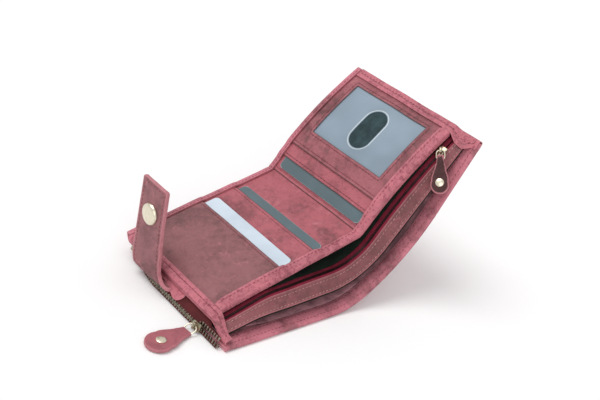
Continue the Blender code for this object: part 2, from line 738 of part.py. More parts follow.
def make_window(looks):
    """Frame leather with a window in it, and the clear film behind with its thumb slot."""
    start = 2.0 + WINDOW_PANEL_EDGE / PANEL_RIGHT_LENGTH
    window = 2.0 + WINDOW_START / PANEL_RIGHT_LENGTH
    window_end = window + WINDOW_LENGTH / PANEL_RIGHT_LENGTH
    low_y = OPEN_EDGE_Y + WINDOW_OPEN_SIDE_MARGIN
    high_y = low_y + WINDOW_HEIGHT
    spots = [start] + stations(window, window_end, 4) + RIGHT_LEG_SHARES
    ys = OPEN_DRAPE_YS + [low_y, high_y] + DRAPE_YS[4:]
    film_rise = (WINDOW_FILM + CLEARANCE) / (CARD_THICKNESS + CLEARANCE)
    frame = sheet("window_frame", looks["rose"], pocket_place(3, 1 + film_rise), spots, ys,
                  POCKET_LEATHER)
    middle_y = (low_y + high_y) / 2.0
    middle = stack((window + window_end) / 2.0, 0.0)
    across = WINDOW_LENGTH / 2.0

    def in_window(point):
        sideways = (with_y(point, 0.0) - middle).length
        return sideways < across and abs(point.y - middle_y) < WINDOW_HEIGHT / 2.0

    drop_faces(frame, in_window)
    lap = CLEARANCE * 2.0 / PANEL_RIGHT_LENGTH
    film_s = stations(window - lap, window_end + lap, 6)
    film_ys = [low_y - DRAPE_WIDTH / 2.0, high_y + DRAPE_WIDTH / 2.0]
    rise = 2 * POCKET_STEP + (CARD_THICKNESS + CLEARANCE) + CLEARANCE + WINDOW_FILM / 2.0

    def film_place(s, y):
        return with_y(stack(s, BASE_TOP_DEPTH - rise), y)

    film = sheet("window_film", looks["film"], film_place, film_s, film_ys, WINDOW_FILM)
    centre_s = (window + window_end) / 2.0
    ahead = stack(centre_s + SLOT_AXIS_STEP, 0.0) - stack(centre_s - SLOT_AXIS_STEP, 0.0)
    up = Vector((-ahead.z, 0.0, ahead.x))
    place = with_y(stack(centre_s, BASE_TOP_DEPTH - rise), middle_y + THUMB_SLOT_RISE)
    end = THUMB_SLOT_HEIGHT / 2.0
    run = THUMB_SLOT_LENGTH / 2.0 - end
    outline = []
    for i in range(ROUND_STEPS):
        angle = math.tau * (i + 0.5) / ROUND_STEPS
        x = end * math.cos(angle)
        outline.append((x + math.copysign(run, x), end * math.sin(angle)))
    slot = prism("thumb_slot_cutter", None, outline, THUMB_SLOT_HEIGHT, frame_of(place, ahead, up),
                 CUTTERS)
    combine(film, slot, "DIFFERENCE")


def edge_top(s):
    """Height of the binding's upper leg over the card face, clear of the leathers it wraps."""
    return panel_top(s) + CLEARANCE + BINDING_LEATHER / 2.0


def rise_under(s, y):
    """How far the pockets under the binding rise over their cards at this place."""
    pocket, strip, upper, frame = slot_shares()
    cards = 0.0
    if s <= 1.0:
        start = ease((s - share_at(BINDING_WIDTH)) * PANEL_LEFT_LENGTH / DRAPE_WIDTH)
        cards = 2.0 * start - ease((s - pocket) / LAYER_RAMP) - ease((s - strip) / LAYER_RAMP)
    elif s >= 2.0:
        film = (WINDOW_FILM + CLEARANCE) / (CARD_THICKNESS + CLEARANCE)
        cards = ease((s - upper) / LAYER_RAMP + 1.0) + film * ease((s - frame) / LAYER_RAMP + 1.0)
        cards *= right_end_drape(s)
    return cards * (CARD_THICKNESS + CLEARANCE) * drape(y)


def make_edge_binding(look):
    """The folded strip sewn over the opening edge of the panel."""
    nose_y = OPEN_EDGE_Y - CLEARANCE - BINDING_LEATHER / 2.0
    lift = CLEARANCE / 2.0

    def place(s, v):
        side, y = v
        if side == "top":
            return with_y(stack(s, -edge_top(s) - rise_under(s, y) - lift), y)
        if side == "nose":
            return with_y(stack(s, mix(-edge_top(s), LEG_DEPTH, 0.5)), nose_y)
        return with_y(stack(s, LEG_DEPTH), y)

    vs = [("top", y) for y in reversed(OPEN_DRAPE_YS)] + [("top", nose_y)]
    vs += [("nose", nose_y), ("under", nose_y), ("under", OPEN_EDGE_Y + BINDING_WIDTH / 2.0)]
    first = share_at(BINDING_WIDTH + CLEARANCE)
    lefts = stations(first, first + DRAPE_WIDTH / PANEL_LEFT_LENGTH, 3)
    lefts += with_steps([first + 2.0 * DRAPE_WIDTH / PANEL_LEFT_LENGTH, LEFT_END])
    rights = with_steps(RIGHT_STATIONS[:-2] + [RIGHT_LEG_SHARES[0]]) + [RIGHT_LEG_SHARES[1]]
    three_parts("edge_binding", look, place, vs, BINDING_LEATHER, left=lefts, right=rights)


def make_linings(looks):
    """The lining panel, the zipped pocket's back and the coin pocket's lining."""
    tape_top = ZIP_LINE_Y + TOOTH_REACH + CLEARANCE + BILL_TAPE_WIDTH
    held = [y for y in HOLD_YS if y > tape_top + LAYER_GAP]
    panel_ys = RAMP_YS + held + [tape_top + CLEARANCE]
    three_parts("zip_panel", looks["lining"], zip_surface, panel_ys, LINING)
    back_ys = RAMP_YS + HOLD_YS + [DIVIDER_EDGE_Y]
    three_parts("pocket_back", looks["lining"], back_surface, back_ys, LINING)
    coin_ys = RAMP_YS + HOLD_YS + [COVER_EDGE_Y + HEM_WIDTH + HEM_STEP]
    sheet("coin_lining", looks["lining"], coin_surface, with_steps(LEFT_STATIONS), coin_ys, LINING)


def make_bill_zip(looks):
    """Crimson tapes, the closed row of teeth and the leather strip on the divider."""
    upper = [ZIP_LINE_Y + TOOTH_REACH + CLEARANCE + BILL_TAPE_WIDTH, ZIP_LINE_Y + TOOTH_REACH + CLEARANCE]
    lower_y = ZIP_LINE_Y - TOOTH_REACH - CLEARANCE
    lower = [lower_y, lower_y - BILL_TAPE_WIDTH / 3.0]
    three_parts("bill_tape_upper", looks["crimson"], zip_surface, upper, LINING)
    three_parts("bill_tape_lower", looks["crimson"], zip_surface, lower, LINING)
    strip = stations(lower[1] - CLEARANCE, DIVIDER_EDGE_Y, 4)
    three_parts("divider_strip", looks["rose"], zip_surface, strip, DIVIDER_LEATHER)
    post = SLIDER_LENGTH / 4.0 + 2.0 * CLEARANCE
    run = ZIP_SECTION.length - ZIP_GUIDE.right
    closed_end = 2.0 + BILL_SLIDER_SHARE + (SLIDER_LENGTH / 2.0 - post) / run
    sides = (("left", 0.0, LEFT_END), ("fold", 1.0, 2.0), ("right", RIGHT_BEGIN, closed_end))
    for side, begin, end in sides:
        span = (ZIP_GUIDE.distance(end) - ZIP_GUIDE.distance(begin))
        count = round(span / BILL_TOOTH_PITCH)
        spots = [(begin, 0)]
        for i in range(1, count):
            s = mix(begin, end, i / count)
            slope = TOOTH_SLOPE_LENGTH / span * (end - begin)
            spots += [(s - slope, (i + 1) % 2), (s + slope, i % 2)]
        spots.append((end, (count + 1) % 2))

        def place(spot, side_share):
            s, parity = spot
            short = TOOTH_REACH - TOOTH_OVERLAP
            high = mix(TOOTH_REACH, short, parity)
            low = -mix(short, TOOTH_REACH, parity)
            return zip_surface(s, ZIP_LINE_Y + mix(high, low, side_share))

        sheet(f"bill_teeth_{side}", looks["dark_metal"], place, spots, [0.0, 1.0], TEETH_THICKNESS)


def round_corner(before, corner, after, radius):
    """Three points that take a corner off a line."""
    near = corner + (before - corner).normalized() * radius
    far = corner + (after - corner).normalized() * radius
    return [near, corner.lerp((near + far) / 2.0, CORNER_CUT_SHARE), far]


def binding_section(inner, over, under, outer):
    """Over the top, round the squarish nose and back under by the lower leg."""
    radius = min(BINDING_LEATHER * 2.0, (over - under).length / 3.0)
    top = round_corner(inner, over, under, radius)
    return [inner, *top, *round_corner(over, under, outer, radius), outer]


SECTION_POINTS = list(range(8))
LEFT_BINDING_YS = stations(CLOSED_EDGE_Y - TURNED_EDGE_WIDTH - CLEARANCE, OPEN_EDGE_Y, 3)
LEFT_BINDING_YS += stations(OPEN_EDGE_Y, COVER_EDGE_Y + HEM_STEP, 7)[1:]


def left_binding_drop(y):
    """How far the left binding has come down from the card face to the cover's corner."""
    return ease((OPEN_EDGE_Y - CLEARANCE - y) / (COVER_OVERHANG - HEM_WIDTH / 2.0))


def make_left_binding(look):
    top = -(2 * POCKET_STEP - BASE_TOP_DEPTH + CLEARANCE + BINDING_LEATHER / 2.0)
    nose = -(CLEARANCE + BINDING_LEATHER * 2.0)
    fall = LEFT_END_Z - COVER_LEATHER - HEM_STEP - LEG_DEPTH - BINDING_LEATHER

    def place(index, y):
        drop = left_binding_drop(y)
        upper = mix(top, mix(LEG_DEPTH, top, LEFT_BINDING_SHUT_SHARE), drop)
        points = binding_section(FACE.beside(BINDING_WIDTH, upper), FACE.beside(nose, upper),
                                 FACE.beside(nose, LEG_DEPTH), FACE.beside(0.0, LEG_DEPTH))
        return with_y(points[index] - UP * fall * drop, y)

    sheet("left_end_binding", look, place, SECTION_POINTS, LEFT_BINDING_YS, BINDING_LEATHER)


def right_leg(s, y):
    """Middle of the right binding's upper leg: on the card side, the divider strip, then the hem."""
    over = CLEARANCE + BINDING_LEATHER / 2.0
    flat = stack(s, BASE_TOP_DEPTH - 3 * POCKET_STEP - over)
    strip = zip_surface(s, min(y, ZIP_LINE_Y - TOOTH_REACH), -TEETH_THICKNESS / 2.0 - over)
    hem = cover_surface(s, y, HEM_STEP + COVER_LEATHER / 2.0 + over)
    low = strip.lerp(hem, ease((DIVIDER_EDGE_Y - y) / (HEM_WIDTH / 2.0)))
    return with_y(flat.lerp(low, ease((OPEN_EDGE_Y - CLEARANCE - y) / BINDING_WIDTH)), y)


def make_right_binding(look):
    """Round all the layers at the window end, from the frame to the outside of the cover."""
    out = COVER_LEATHER / 2.0 + CLEARANCE + BINDING_LEATHER / 2.0
    inner_s = RIGHT_LEG_SHARES[1] + CLEARANCE / PANEL_RIGHT_LENGTH

    def place(index, y):
        inner = right_leg(inner_s, y)
        outer = cover_surface(inner_s, y, -out)
        end = cover_surface(3.0, y, -out)
        ahead = (end - outer).normalized()
        leg = right_leg(3.0, y)
        over = leg + ahead * (max(ahead.dot(end - leg), 0.0) + out)
        return with_y(binding_section(inner, over, end + ahead * out, outer)[index], y)

    ys = [CLOSED_EDGE_Y - TURNED_EDGE_WIDTH - CLEARANCE] + RAMP_YS[1:] + HOLD_YS
    ys += stations(OPEN_EDGE_Y, COVER_EDGE_Y + CLEARANCE, 7)
    ys.sort(reverse=True)
    sheet("right_end_binding", look, place, SECTION_POINTS, ys, BINDING_LEATHER)


COIN_DOWN = Vector((-math.sin(COIN_CHAIN_LEAN), 0.0, -math.cos(COIN_CHAIN_LEAN)))
COIN_OUT = Vector((-math.cos(COIN_CHAIN_LEAN), 0.0, math.sin(COIN_CHAIN_LEAN)))


def end_rise(y):
    """How far the cover's left edge has come in and up towards the closed edge."""
    return with_y(cover_surface(0.0, y) - cover_surface(0.0, OPEN_EDGE_Y), 0.0)


def coin_row_centre(y, upper):
    """Middle line of the coin zip; inside the slider the upper row parts from the lower one."""
    lift = 0.0
    if upper:
        begin = COIN_SLIDER_Y + SLIDER_LENGTH / 3.0
        lift = COIN_TEETH_SPREAD * ease((begin - y) / (SLIDER_LENGTH * ROW_PARTING_SHARE))
    return xz(COIN_CHAIN_X, COIN_CHAIN_Z, y) + end_rise(y) - COIN_DOWN * lift


def make_coin_row(name, look, upper):
    """One tape's teeth: a bead on the tape's edge and a tooth that reaches between the others."""
    way = -1.0 if upper else 1.0
    first = COIN_CHAIN_FAR_Y
    count = round((COIN_CHAIN_FAR_Y - COIN_TEETH_END_Y) / COIN_TOOTH_PITCH)
    tooth = COIN_TOOTH_PITCH / 2.0 - CLEARANCE
    start = 0.0 if upper else COIN_TOOTH_PITCH / 2.0
    spots = [(first, False)]
    for i in range(count):
        near = first - CLEARANCE - start - i * COIN_TOOTH_PITCH
        edges = (near, near - tooth)
        spots += [(edges[0], False), (edges[0] - TOOTH_SLOPE_LENGTH, True)]
        spots += [(edges[1] + TOOTH_SLOPE_LENGTH, True), (edges[1], False)]
    spots.append((COIN_TEETH_END_Y - COIN_TOOTH_PITCH, False))

    def place(spot, share):
        y, out = spot
        tip = -TOOTH_OVERLAP if out else TOOTH_REACH - TOOTH_BEAD
        across = mix(TOOTH_REACH, tip, share)
        return coin_row_centre(y, upper) + COIN_DOWN * across * way

    sheet(name, look, place, spots, [0.0, 1.0], TEETH_THICKNESS)


def make_coin_zip(looks):
    make_coin_row("coin_teeth_upper", looks["brass"], True)
    make_coin_row("coin_teeth_lower", looks["brass"], False)
    reach = TOOTH_REACH + 2.0 * CLEARANCE

    def upper_place(share, y):
        low = coin_row_centre(y, True) - COIN_DOWN * reach
        under = LEG_DEPTH + BINDING_LEATHER / 2.0 + CLEARANCE
        inside = FACE.beside(-BINDING_LEATHER, under + LINING + CLEARANCE)
        outside = low + xz(BINDING_LEATHER, -BINDING_LEATHER)
        out = ease((OPEN_EDGE_Y - y) / (BINDING_WIDTH - CLEARANCE))
        return low.lerp(with_y(inside.lerp(outside, out), y), share)

    far_ys = [y for y in RAMP_YS if y < COIN_CHAIN_FAR_Y]
    ys = far_ys + stations(COIN_SLIDER_Y + SLIDER_LENGTH / 3.0, OPEN_EDGE_Y, 4)
    ys += stations(OPEN_EDGE_Y, OPEN_EDGE_Y - BINDING_WIDTH, 4)[1:] + [COIN_TEETH_END_Y + HEM_WIDTH / 2.0]
    sheet("coin_tape_upper", looks["crimson"], upper_place, [0.0, 0.5, 1.0], ys, LINING)

    def lower_place(share, y):
        out = coin_row_centre(y, False) + COIN_DOWN * TOOTH_REACH
        low = with_y(cover_surface(0.0, y), y)
        start = xz(out.x - CLEARANCE, low.z, y)
        return start.lerp(xz(low.x - 2.0 * CLEARANCE, low.z, y), share)

    sheet("coin_tape_lower", looks["crimson"], lower_place, [0.0, 1.0], far_ys + [COIN_TEETH_END_Y],
          LINING)
    stop_size = (TEETH_THICKNESS, COIN_TOOTH_PITCH, 2.0 * TOOTH_REACH)
    place = frame_of(coin_row_centre(COIN_CHAIN_FAR_Y + CLEARANCE + COIN_TOOTH_PITCH / 2.0, False),
                     -COIN_OUT, -COIN_DOWN)
    box("coin_zip_stop", stop_size, (0.0, 0.0, 0.0), place, look=looks["brass"])


def make_slider(name, look, frame, cutters, bridge_turn=0.0, post_shift=0.0):
    """Two waisted plates, the post between them and a bridge that holds the pull's loop.

    The frame's X axis runs along the teeth to the open side and Z points away from the wallet. The
    bridge is turned so that its hole lies along the pull's hinge.
    """
    gap = TEETH_THICKNESS / 2.0 + CLEARANCE * SLIDER_GAP_SHARE
    half = SLIDER_LENGTH / 2.0
    outline = []
    for share, width in SLIDER_OUTLINE_SHARES:
        outline.append((share * half, width * SLIDER_WIDTH / 2.0))
    outline += [(x, -y) for x, y in reversed(outline)]
    front = frame @ Matrix.Translation((0.0, 0.0, gap + SLIDER_PLATE / 2.0))
    slider = prism(name, look, outline, SLIDER_PLATE, front)
    inner = [(x, y * SLIDER_BACK_WIDTH / SLIDER_WIDTH) for x, y in outline]
    back = prism(f"{name}_back_tool", None, inner, SLIDER_PLATE,
                 frame @ Matrix.Translation((0.0, 0.0, -gap - SLIDER_PLATE / 2.0)), cutters)
    post_length = SLIDER_LENGTH / 4.0
    post = box(f"{name}_post_tool", (post_length, SLIDER_POST_WIDTH, 2.0 * gap + SLIDER_PLATE),
               (half - post_length / 2.0 - CLEARANCE, post_shift, 0.0), frame, cutters)
    frame = frame @ Matrix.Rotation(bridge_turn, 4, "Z")
    lift = gap + SLIDER_PLATE
    bridge_height = BRIDGE_RISE + SLIDER_PLATE / 2.0
    bridge = box(f"{name}_bridge_tool", (BRIDGE_LENGTH, BRIDGE_WIDTH, bridge_height),
                 (0.0, 0.0, lift - SLIDER_PLATE / 2.0 + bridge_height / 2.0), frame, cutters)
    hole_height = BRIDGE_RISE - BRIDGE_BAR
    hole = box(f"{name}_hole_tool", (BRIDGE_LENGTH * 2.0, BRIDGE_WIDTH - 2.0 * BRIDGE_BAR, hole_height),
               (0.0, 0.0, lift + hole_height / 2.0), frame, cutters)
    for tool in (back, post, bridge):
        combine(slider, tool, "UNION")
    combine(slider, hole, "DIFFERENCE")
    return lift + hole_height - CLEARANCE - LOOP_WIRE_RADIUS


def make_loop(name, look, frame, length, width):
    """A wire loop in the frame's XY plane, with one side on the origin along Y."""
    outline = []
    half_length = length / 2.0 - LOOP_CORNER
    half_width = width / 2.0 - LOOP_CORNER
    corner_steps = 3
    for index, (way_x, way_y) in enumerate(((1, 1), (-1, 1), (-1, -1), (1, -1))):
        for step in range(corner_steps + 1):
            angle = math.pi / 2.0 * (index + step / corner_steps)
            x = way_x * half_width + LOOP_CORNER * math.cos(angle)
            y = way_y * half_length + LOOP_CORNER * math.sin(angle)
            outline.append((x - width / 2.0, y, 0.0))
    curve = bpy.data.curves.new(name, "CURVE")
    curve.dimensions = "3D"
    curve.bevel_depth = LOOP_WIRE_RADIUS
    curve.bevel_resolution = 1
    line = curve.splines.new("POLY")
    line.points.add(len(outline) - 1)
    for point, place in zip(line.points, outline):
        point.co = (*place, 1.0)
    line.use_cyclic_u = True
    thing = keep(name, curve, look)
    thing.matrix_world = frame
    return thing


def tab_outline(length, neck, round_radius):
    """Tongue, neck and round end, along -X from the tongue's tip at the origin."""
    tip = TAB_HOLE_RADIUS + CLEARANCE * 2.0
    tongue = TAB_TONGUE_LENGTH
    shoulder = tongue + TAB_TONGUE_WIDTH / 2.0
    centre = length - round_radius
    points = [(tip, TAB_TONGUE_WIDTH / 2.0), (-tongue, TAB_TONGUE_WIDTH / 2.0), (-shoulder, neck / 2.0)]
    waist = (shoulder + centre) / 2.0
    points.append((-waist, neck / 2.0 + (round_radius - neck / 2.0) * TAB_WAIST_SHARE))
    arc_steps = 14
    for i in range(arc_steps + 1):
        angle = TAB_ROUND_START + TAB_ROUND_TURN * i / (arc_steps / 2.0)
        if i <= arc_steps / 2:
            points.append((-centre + round_radius * math.cos(angle), round_radius * math.sin(angle)))
    lower = [(x, -y) for x, y in reversed(points[:-1])]
    return points + lower


def make_pull(prefix, looks, hinge, loop, outward, lie, length, neck, round_radius, rivet_radius, cutters):
    """Loop, leather tab and rivet. The hinge frame has Y on the hinge axis and -X to the tab."""
    make_loop(f"{prefix}_pull_loop", looks["brass"], hinge, *loop)
    far = hinge @ Vector((-loop[1], 0.0, 0.0))
    place = frame_of(far, lie, outward)
    tab = prism(f"{prefix}_pull_tab", looks[f"{prefix}_tab"], tab_outline(length, neck, round_radius),
                TAB_THICKNESS, place)
    across = place @ Matrix.Rotation(math.pi / 2.0, 4, "X")
    combine(tab, rod(f"{prefix}_tab_hole_tool", TAB_HOLE_RADIUS, 2.0 * TAB_TONGUE_WIDTH, across, cutters),
            "DIFFERENCE")
    centre = place @ Vector((-(length - round_radius), 0.0, TAB_THICKNESS / 2.0 + CLEARANCE))
    top = frame_of(centre, lie, outward)
    profile = [(0.0, RIVET_RISE)]
    for share in RIVET_DOME_SHARES:
        rise = RIVET_RISE * math.sqrt(1.0 - share * share * RIVET_FLATNESS_SHARE)
        profile.append((share * rivet_radius, rise))
    profile += [(rivet_radius, 0.0), (0.0, 0.0)]
    turned(f"{prefix}_pull_rivet", looks["pale_gold"], profile, top, 16)


def make_coin_pull(looks, cutters):
    centre = coin_row_centre(COIN_SLIDER_Y, False)
    along = Vector((0.0, -1.0, 0.0))
    frame = frame_of(centre, along, COIN_OUT)
    out = make_slider("coin_slider", looks["brass"], frame, cutters, post_shift=COIN_TEETH_SPREAD / 2.0)
    hinge_point = centre + COIN_OUT * out
    tab_z = TAB_THICKNESS / 2.0 + CLEARANCE
    fall = (hinge_point.z - tab_z) / COIN_LOOP_WIDTH
    down = Vector((-math.sqrt(1.0 - fall * fall), 0.0, -fall))
    hinge = frame_of(hinge_point, -down, Vector((0.0, 1.0, 0.0)).cross(down))
    flat = Matrix.Rotation(COIN_TAB_SWING, 3, "Z") @ Vector((1.0, 0.0, 0.0))
    loop = (COIN_LOOP_LENGTH, COIN_LOOP_WIDTH)
    make_pull("coin", looks, hinge, loop, UP, flat, COIN_TAB_LENGTH, COIN_TAB_NECK, COIN_TAB_ROUND,
              COIN_RIVET_RADIUS, cutters)
    return hinge_point


def bill_frame():
    """Place and axes of the bill slider: along the teeth, across the strip and out of it."""
    s = mix(2.0, 3.0, BILL_SLIDER_SHARE)
    distance = ZIP_GUIDE.distance(s)
    x, z, heading = ZIP_SECTION.at(distance)
    point = zip_surface(s, ZIP_LINE_Y)
    along = xz(math.cos(heading), math.sin(heading))
    strip = zip_surface(s, DIVIDER_EDGE_Y) - zip_surface(s, ZIP_LINE_Y - TOOTH_REACH)
    across = (strip - strip.dot(along) * along).normalized()
    outward = across.cross(along)
    chain = zip_surface(s, ZIP_LINE_Y - TOOTH_REACH) - zip_surface(s, ZIP_LINE_Y + TOOTH_REACH)
    chain_out = (chain - chain.dot(along) * along).normalized().cross(along)
    return point, along, across, outward, chain_out


def make_bill_pull(looks, cutters):
    point, along, across, outward, chain_out = bill_frame()
    frame = frame_of(point, along, chain_out)
    out = make_slider("bill_slider", looks["brass"], frame, cutters, math.pi / 2.0 + BILL_TAB_SWING)
    hinge_point = point + chain_out * out
    lie = (along * math.cos(BILL_TAB_SWING) - across * math.sin(BILL_TAB_SWING)).normalized()
    lifted = (outward + chain_out).normalized()
    hinge = frame_of(hinge_point, lie, lifted)
    loop = (BILL_LOOP_LENGTH, BILL_LOOP_WIDTH)
    make_pull("bill", looks, hinge, loop, lifted, lie, BILL_TAB_LENGTH, BILL_TAB_NECK, BILL_TAB_ROUND,
              BILL_RIVET_RADIUS, cutters)
    return hinge_point


STRAP_OUT = Vector((-1.0, 0.0, 0.0))


def strap_y(share, up_share, lean):
    """Y across the strap, which narrows and leans a little towards its top."""
    width = mix(STRAP_WIDTH, STRAP_TOP_WIDTH, up_share)
    return STRAP_CENTRE_Y - STRAP_ROOT_SHIFT * lean + (share - 0.5) * width


def make_strap(looks):
    """The anchor patch, the bending root and the free strap with its snap."""
    under = FACE.beside(0.0, LEG_DEPTH + BINDING_LEATHER + LAYER_GAP)

    def patch_place(share, v):
        half = PATCH_LENGTH / 2.0
        y = PATCH_CENTRE_Y + half * v
        reach = math.sqrt(max(1.0 - v * v * PATCH_ROUNDNESS_SHARE, 0.0))
        start = under + xz(-BINDING_LEATHER - CLEARANCE, 0.0)
        return with_y(start + xz(-PATCH_REACH * share * reach, 0.0), y)

    patch_vs = [math.sin(math.pi / 2.0 * i / 6.0) for i in range(-6, 7)]
    sheet("strap_anchor_patch", looks["binding"], patch_place, PATCH_SHARES, patch_vs, LINING)

    hinge_x = STRAP_FACE_X + STRAP_CURL_RADIUS
    root = Section(hinge_x + STRAP_ROOT_RUN, STRAP_HINGE_Z - STRAP_CURL_RADIUS, math.pi)
    root.straight(STRAP_ROOT_RUN).arc(STRAP_CURL_RADIUS, -math.pi / 2.0)

    def root_place(share, v):
        x, z, _heading = root.at(share * root.length)
        y = strap_y(v, 0.0, 1.0 - share)
        return xz(x, z + end_rise(y).z * (1.0 - share), y)

    sheet("strap_root", looks["strap"], root_place, stations(0.0, 1.0, 6), stations(0.0, 1.0, 4),
          STRAP_THICKNESS)
    base_z = STRAP_HINGE_Z + 2.0 * CLEARANCE

    def strap_place(up, v):
        corner = STRAP_CORNER / STRAP_LENGTH
        cut = 0.0
        if up > 1.0 - corner:
            climb = (up - 1.0 + corner) / corner
            cut = STRAP_CORNER * (1.0 - math.sqrt(max(1.0 - climb * climb, 0.0)))
        width = mix(STRAP_WIDTH, STRAP_TOP_WIDTH, up) - 2.0 * cut
        y = STRAP_CENTRE_Y + (v - 0.5) * width
        return xz(STRAP_FACE_X, base_z + up * STRAP_LENGTH, y)

    corner = STRAP_CORNER / STRAP_LENGTH
    ups = [0.0, 1.0 - corner] + [1.0 - corner * share for share in STRAP_CORNER_SHARES]
    sheet("strap", looks["strap"], strap_place, ups, [0.0, 1.0], STRAP_THICKNESS)
    make_snap(looks, base_z)


def make_snap(looks, base_z):
    """The cap and socket on the strap, and the stud on the cover that they close on."""
    face = STRAP_THICKNESS / 2.0 + CLEARANCE
    middle = xz(STRAP_FACE_X, base_z + SNAP_HEIGHT, STRAP_CENTRE_Y)
    cap = frame_of(middle + STRAP_OUT * face, Vector((0.0, 1.0, 0.0)), STRAP_OUT)
    profile = [(0.0, SNAP_CAP_RISE)]
    for share in CAP_DOME_SHARES:
        rise = SNAP_CAP_RISE * math.sqrt(1.0 - share * share * CAP_FLATNESS_SHARE)
        profile.append((share * SNAP_CAP_RADIUS, rise))
    profile += [(SNAP_CAP_RADIUS, 0.0), (0.0, 0.0)]
    turned("snap_cap", looks["pale_gold"], profile, cap)
    socket = frame_of(middle - STRAP_OUT * face, Vector((0.0, -1.0, 0.0)), -STRAP_OUT)
    hollow = SNAP_SOCKET_RADIUS / 2.0
    floor = SNAP_SOCKET_DEPTH / 3.0
    rim = [(0.0, floor), (hollow, floor), (hollow, SNAP_SOCKET_DEPTH)]
    rim += [(SNAP_SOCKET_RADIUS, SNAP_SOCKET_DEPTH), (SNAP_SOCKET_RADIUS, 0.0), (0.0, 0.0)]
    turned("snap_socket", looks["pale_gold"], rim, socket)
    s = 3.0 - SNAP_STUD_INSET / PANEL_RIGHT_LENGTH
    depth = -(COVER_LEATHER / 2.0 + CLEARANCE)
    base = cover_surface(s, STRAP_CENTRE_Y, depth)
    step = CLEARANCE / PANEL_RIGHT_LENGTH
    along = cover_surface(s + step, STRAP_CENTRE_Y) - cover_surface(s - step, STRAP_CENTRE_Y)
    sideways = (cover_surface(s, STRAP_CENTRE_Y + CLEARANCE) - cover_surface(s, STRAP_CENTRE_Y - CLEARANCE))
    outward = along.cross(sideways).normalized()
    if outward.z > 0.0:
        outward = -outward
    stud_frame = frame_of(base + outward * 2.0 * LAYER_GAP, along, outward)
    knob = hollow * STUD_KNOB_SHARE
    plate = SNAP_STUD_DEPTH / 4.0
    stud = [(0.0, SNAP_STUD_DEPTH), (knob, SNAP_STUD_DEPTH), (knob, plate)]
    stud += [(SNAP_SOCKET_RADIUS, plate), (SNAP_SOCKET_RADIUS, 0.0), (0.0, 0.0)]
    turned("snap_stud", looks["pale_gold"], stud, stud_frame)


def make_looks():
    return {
        "rose": material("rose_leather", (0.43, 0.10, 0.13), 0.55),
        "dusk": material("dusky_leather", (0.30, 0.11, 0.12), 0.55),
        "binding": material("pink_leather", (0.60, 0.20, 0.24), 0.5),
        "strap": material("strap_leather", (0.36, 0.17, 0.18), 0.55),
        "cover": material("cover_leather", (0.42, 0.13, 0.16), 0.55),
        "lining": material("green_black_lining", (0.012, 0.022, 0.016), 0.8),
        "crimson": material("crimson_tape", (0.19, 0.008, 0.03), 0.75),
        "dark_metal": material("dark_teeth", (0.06, 0.05, 0.04), 0.4, 0.8),
        "brass": material("antique_brass", (0.42, 0.36, 0.22), 0.35, 1.0),
        "pale_gold": material("pale_gold", (0.80, 0.72, 0.52), 0.25, 1.0),
        "pale": material("pale_card", (0.62, 0.68, 0.75), 0.4),
        "gray": material("gray_card", (0.10, 0.16, 0.19), 0.4),
        "film": material("window_film", (0.28, 0.36, 0.40), 0.2),
        "coin_tab": material("rose_tab", (0.50, 0.10, 0.14), 0.5),
        "bill_tab": material("brown_tab", (0.16, 0.07, 0.07), 0.5),
    }


def carry(name, place, pieces):
    """An empty on a joint's axis, which carries the pieces that move on it."""
    axis = bpy.data.objects.new(name, None)
    COLLECTION.objects.link(axis)
    axis.matrix_world = Matrix.Translation(place)
    for piece in pieces:
        thing = bpy.data.objects[piece]
        thing.parent = axis
        thing.matrix_parent_inverse = axis.matrix_world.inverted()


def make_joints(coin_hinge, bill_hinge):
    """The axes of the fold, the strap, the sliders, the pulls and the sliding cards."""
    carry("wallet_fold_axis", FOLD_AXIS, RIGHT_HALF_PIECES)
    strap_axis = xz(STRAP_FACE_X + STRAP_CURL_RADIUS, STRAP_HINGE_Z)
    carry("strap_bend_axis", strap_axis, ("strap", "snap_cap", "snap_socket"))
    carry("coin_zip_axis", coin_row_centre(COIN_SLIDER_Y, False), ("coin_slider",))
    carry("coin_pull_axis", coin_hinge, PULL_PIECES["coin"])
    curve_centre = ZIP_SECTION.beside(ZIP_SECTION.length, ZIP_END_RADIUS)
    carry("bill_zip_axis", curve_centre, ("bill_slider",))
    carry("bill_pull_axis", bill_hinge, PULL_PIECES["bill"])
    carry("pale_card_axis", stack(share_at(PALE_CARD_EDGE), 0.0), ("card_pale",))
    carry("gray_card_axis", stack(share_at(GRAY_CARD_EDGE), 0.0), ("card_gray",))


RIGHT_HALF_PIECES = (
    "cover_right", "panel_right", "card_strip_lower", "card_strip_upper", "window_frame", "window_film",
    "card_dark", "edge_binding_right", "zip_panel_right", "pocket_back_right", "bill_tape_upper_right",
    "bill_tape_lower_right", "divider_strip_right", "bill_teeth_right", "right_end_binding", "snap_stud",
)
PULL_PIECES = {zip_name: [f"{zip_name}_pull_{piece}" for piece in ("loop", "tab", "rivet")]
               for zip_name in ("coin", "bill")}

CUTTERS = start_scene()
LOOKS = make_looks()
make_cover(LOOKS["cover"])
make_panel(LOOKS)
make_linings(LOOKS)
make_bill_zip(LOOKS)
make_left_binding(LOOKS["binding"])
make_right_binding(LOOKS["binding"])
make_coin_zip(LOOKS)
COIN_HINGE = make_coin_pull(LOOKS, CUTTERS)
BILL_HINGE = make_bill_pull(LOOKS, CUTTERS)
make_strap(LOOKS)
make_joints(COIN_HINGE, BILL_HINGE)
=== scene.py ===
"""Leather wallet, lying half open: the visual model over the CAD frame, the stage and the camera.

Laid out as an add-on and run as a script. Metres, +Z up, in the frame of the part: X runs from the
strap end to the window end, Y from the openings to the closed edge.
"""
import json
import math

import bmesh
import bpy
from mathutils import Matrix, Vector, noise
from mathutils.kdtree import KDTree

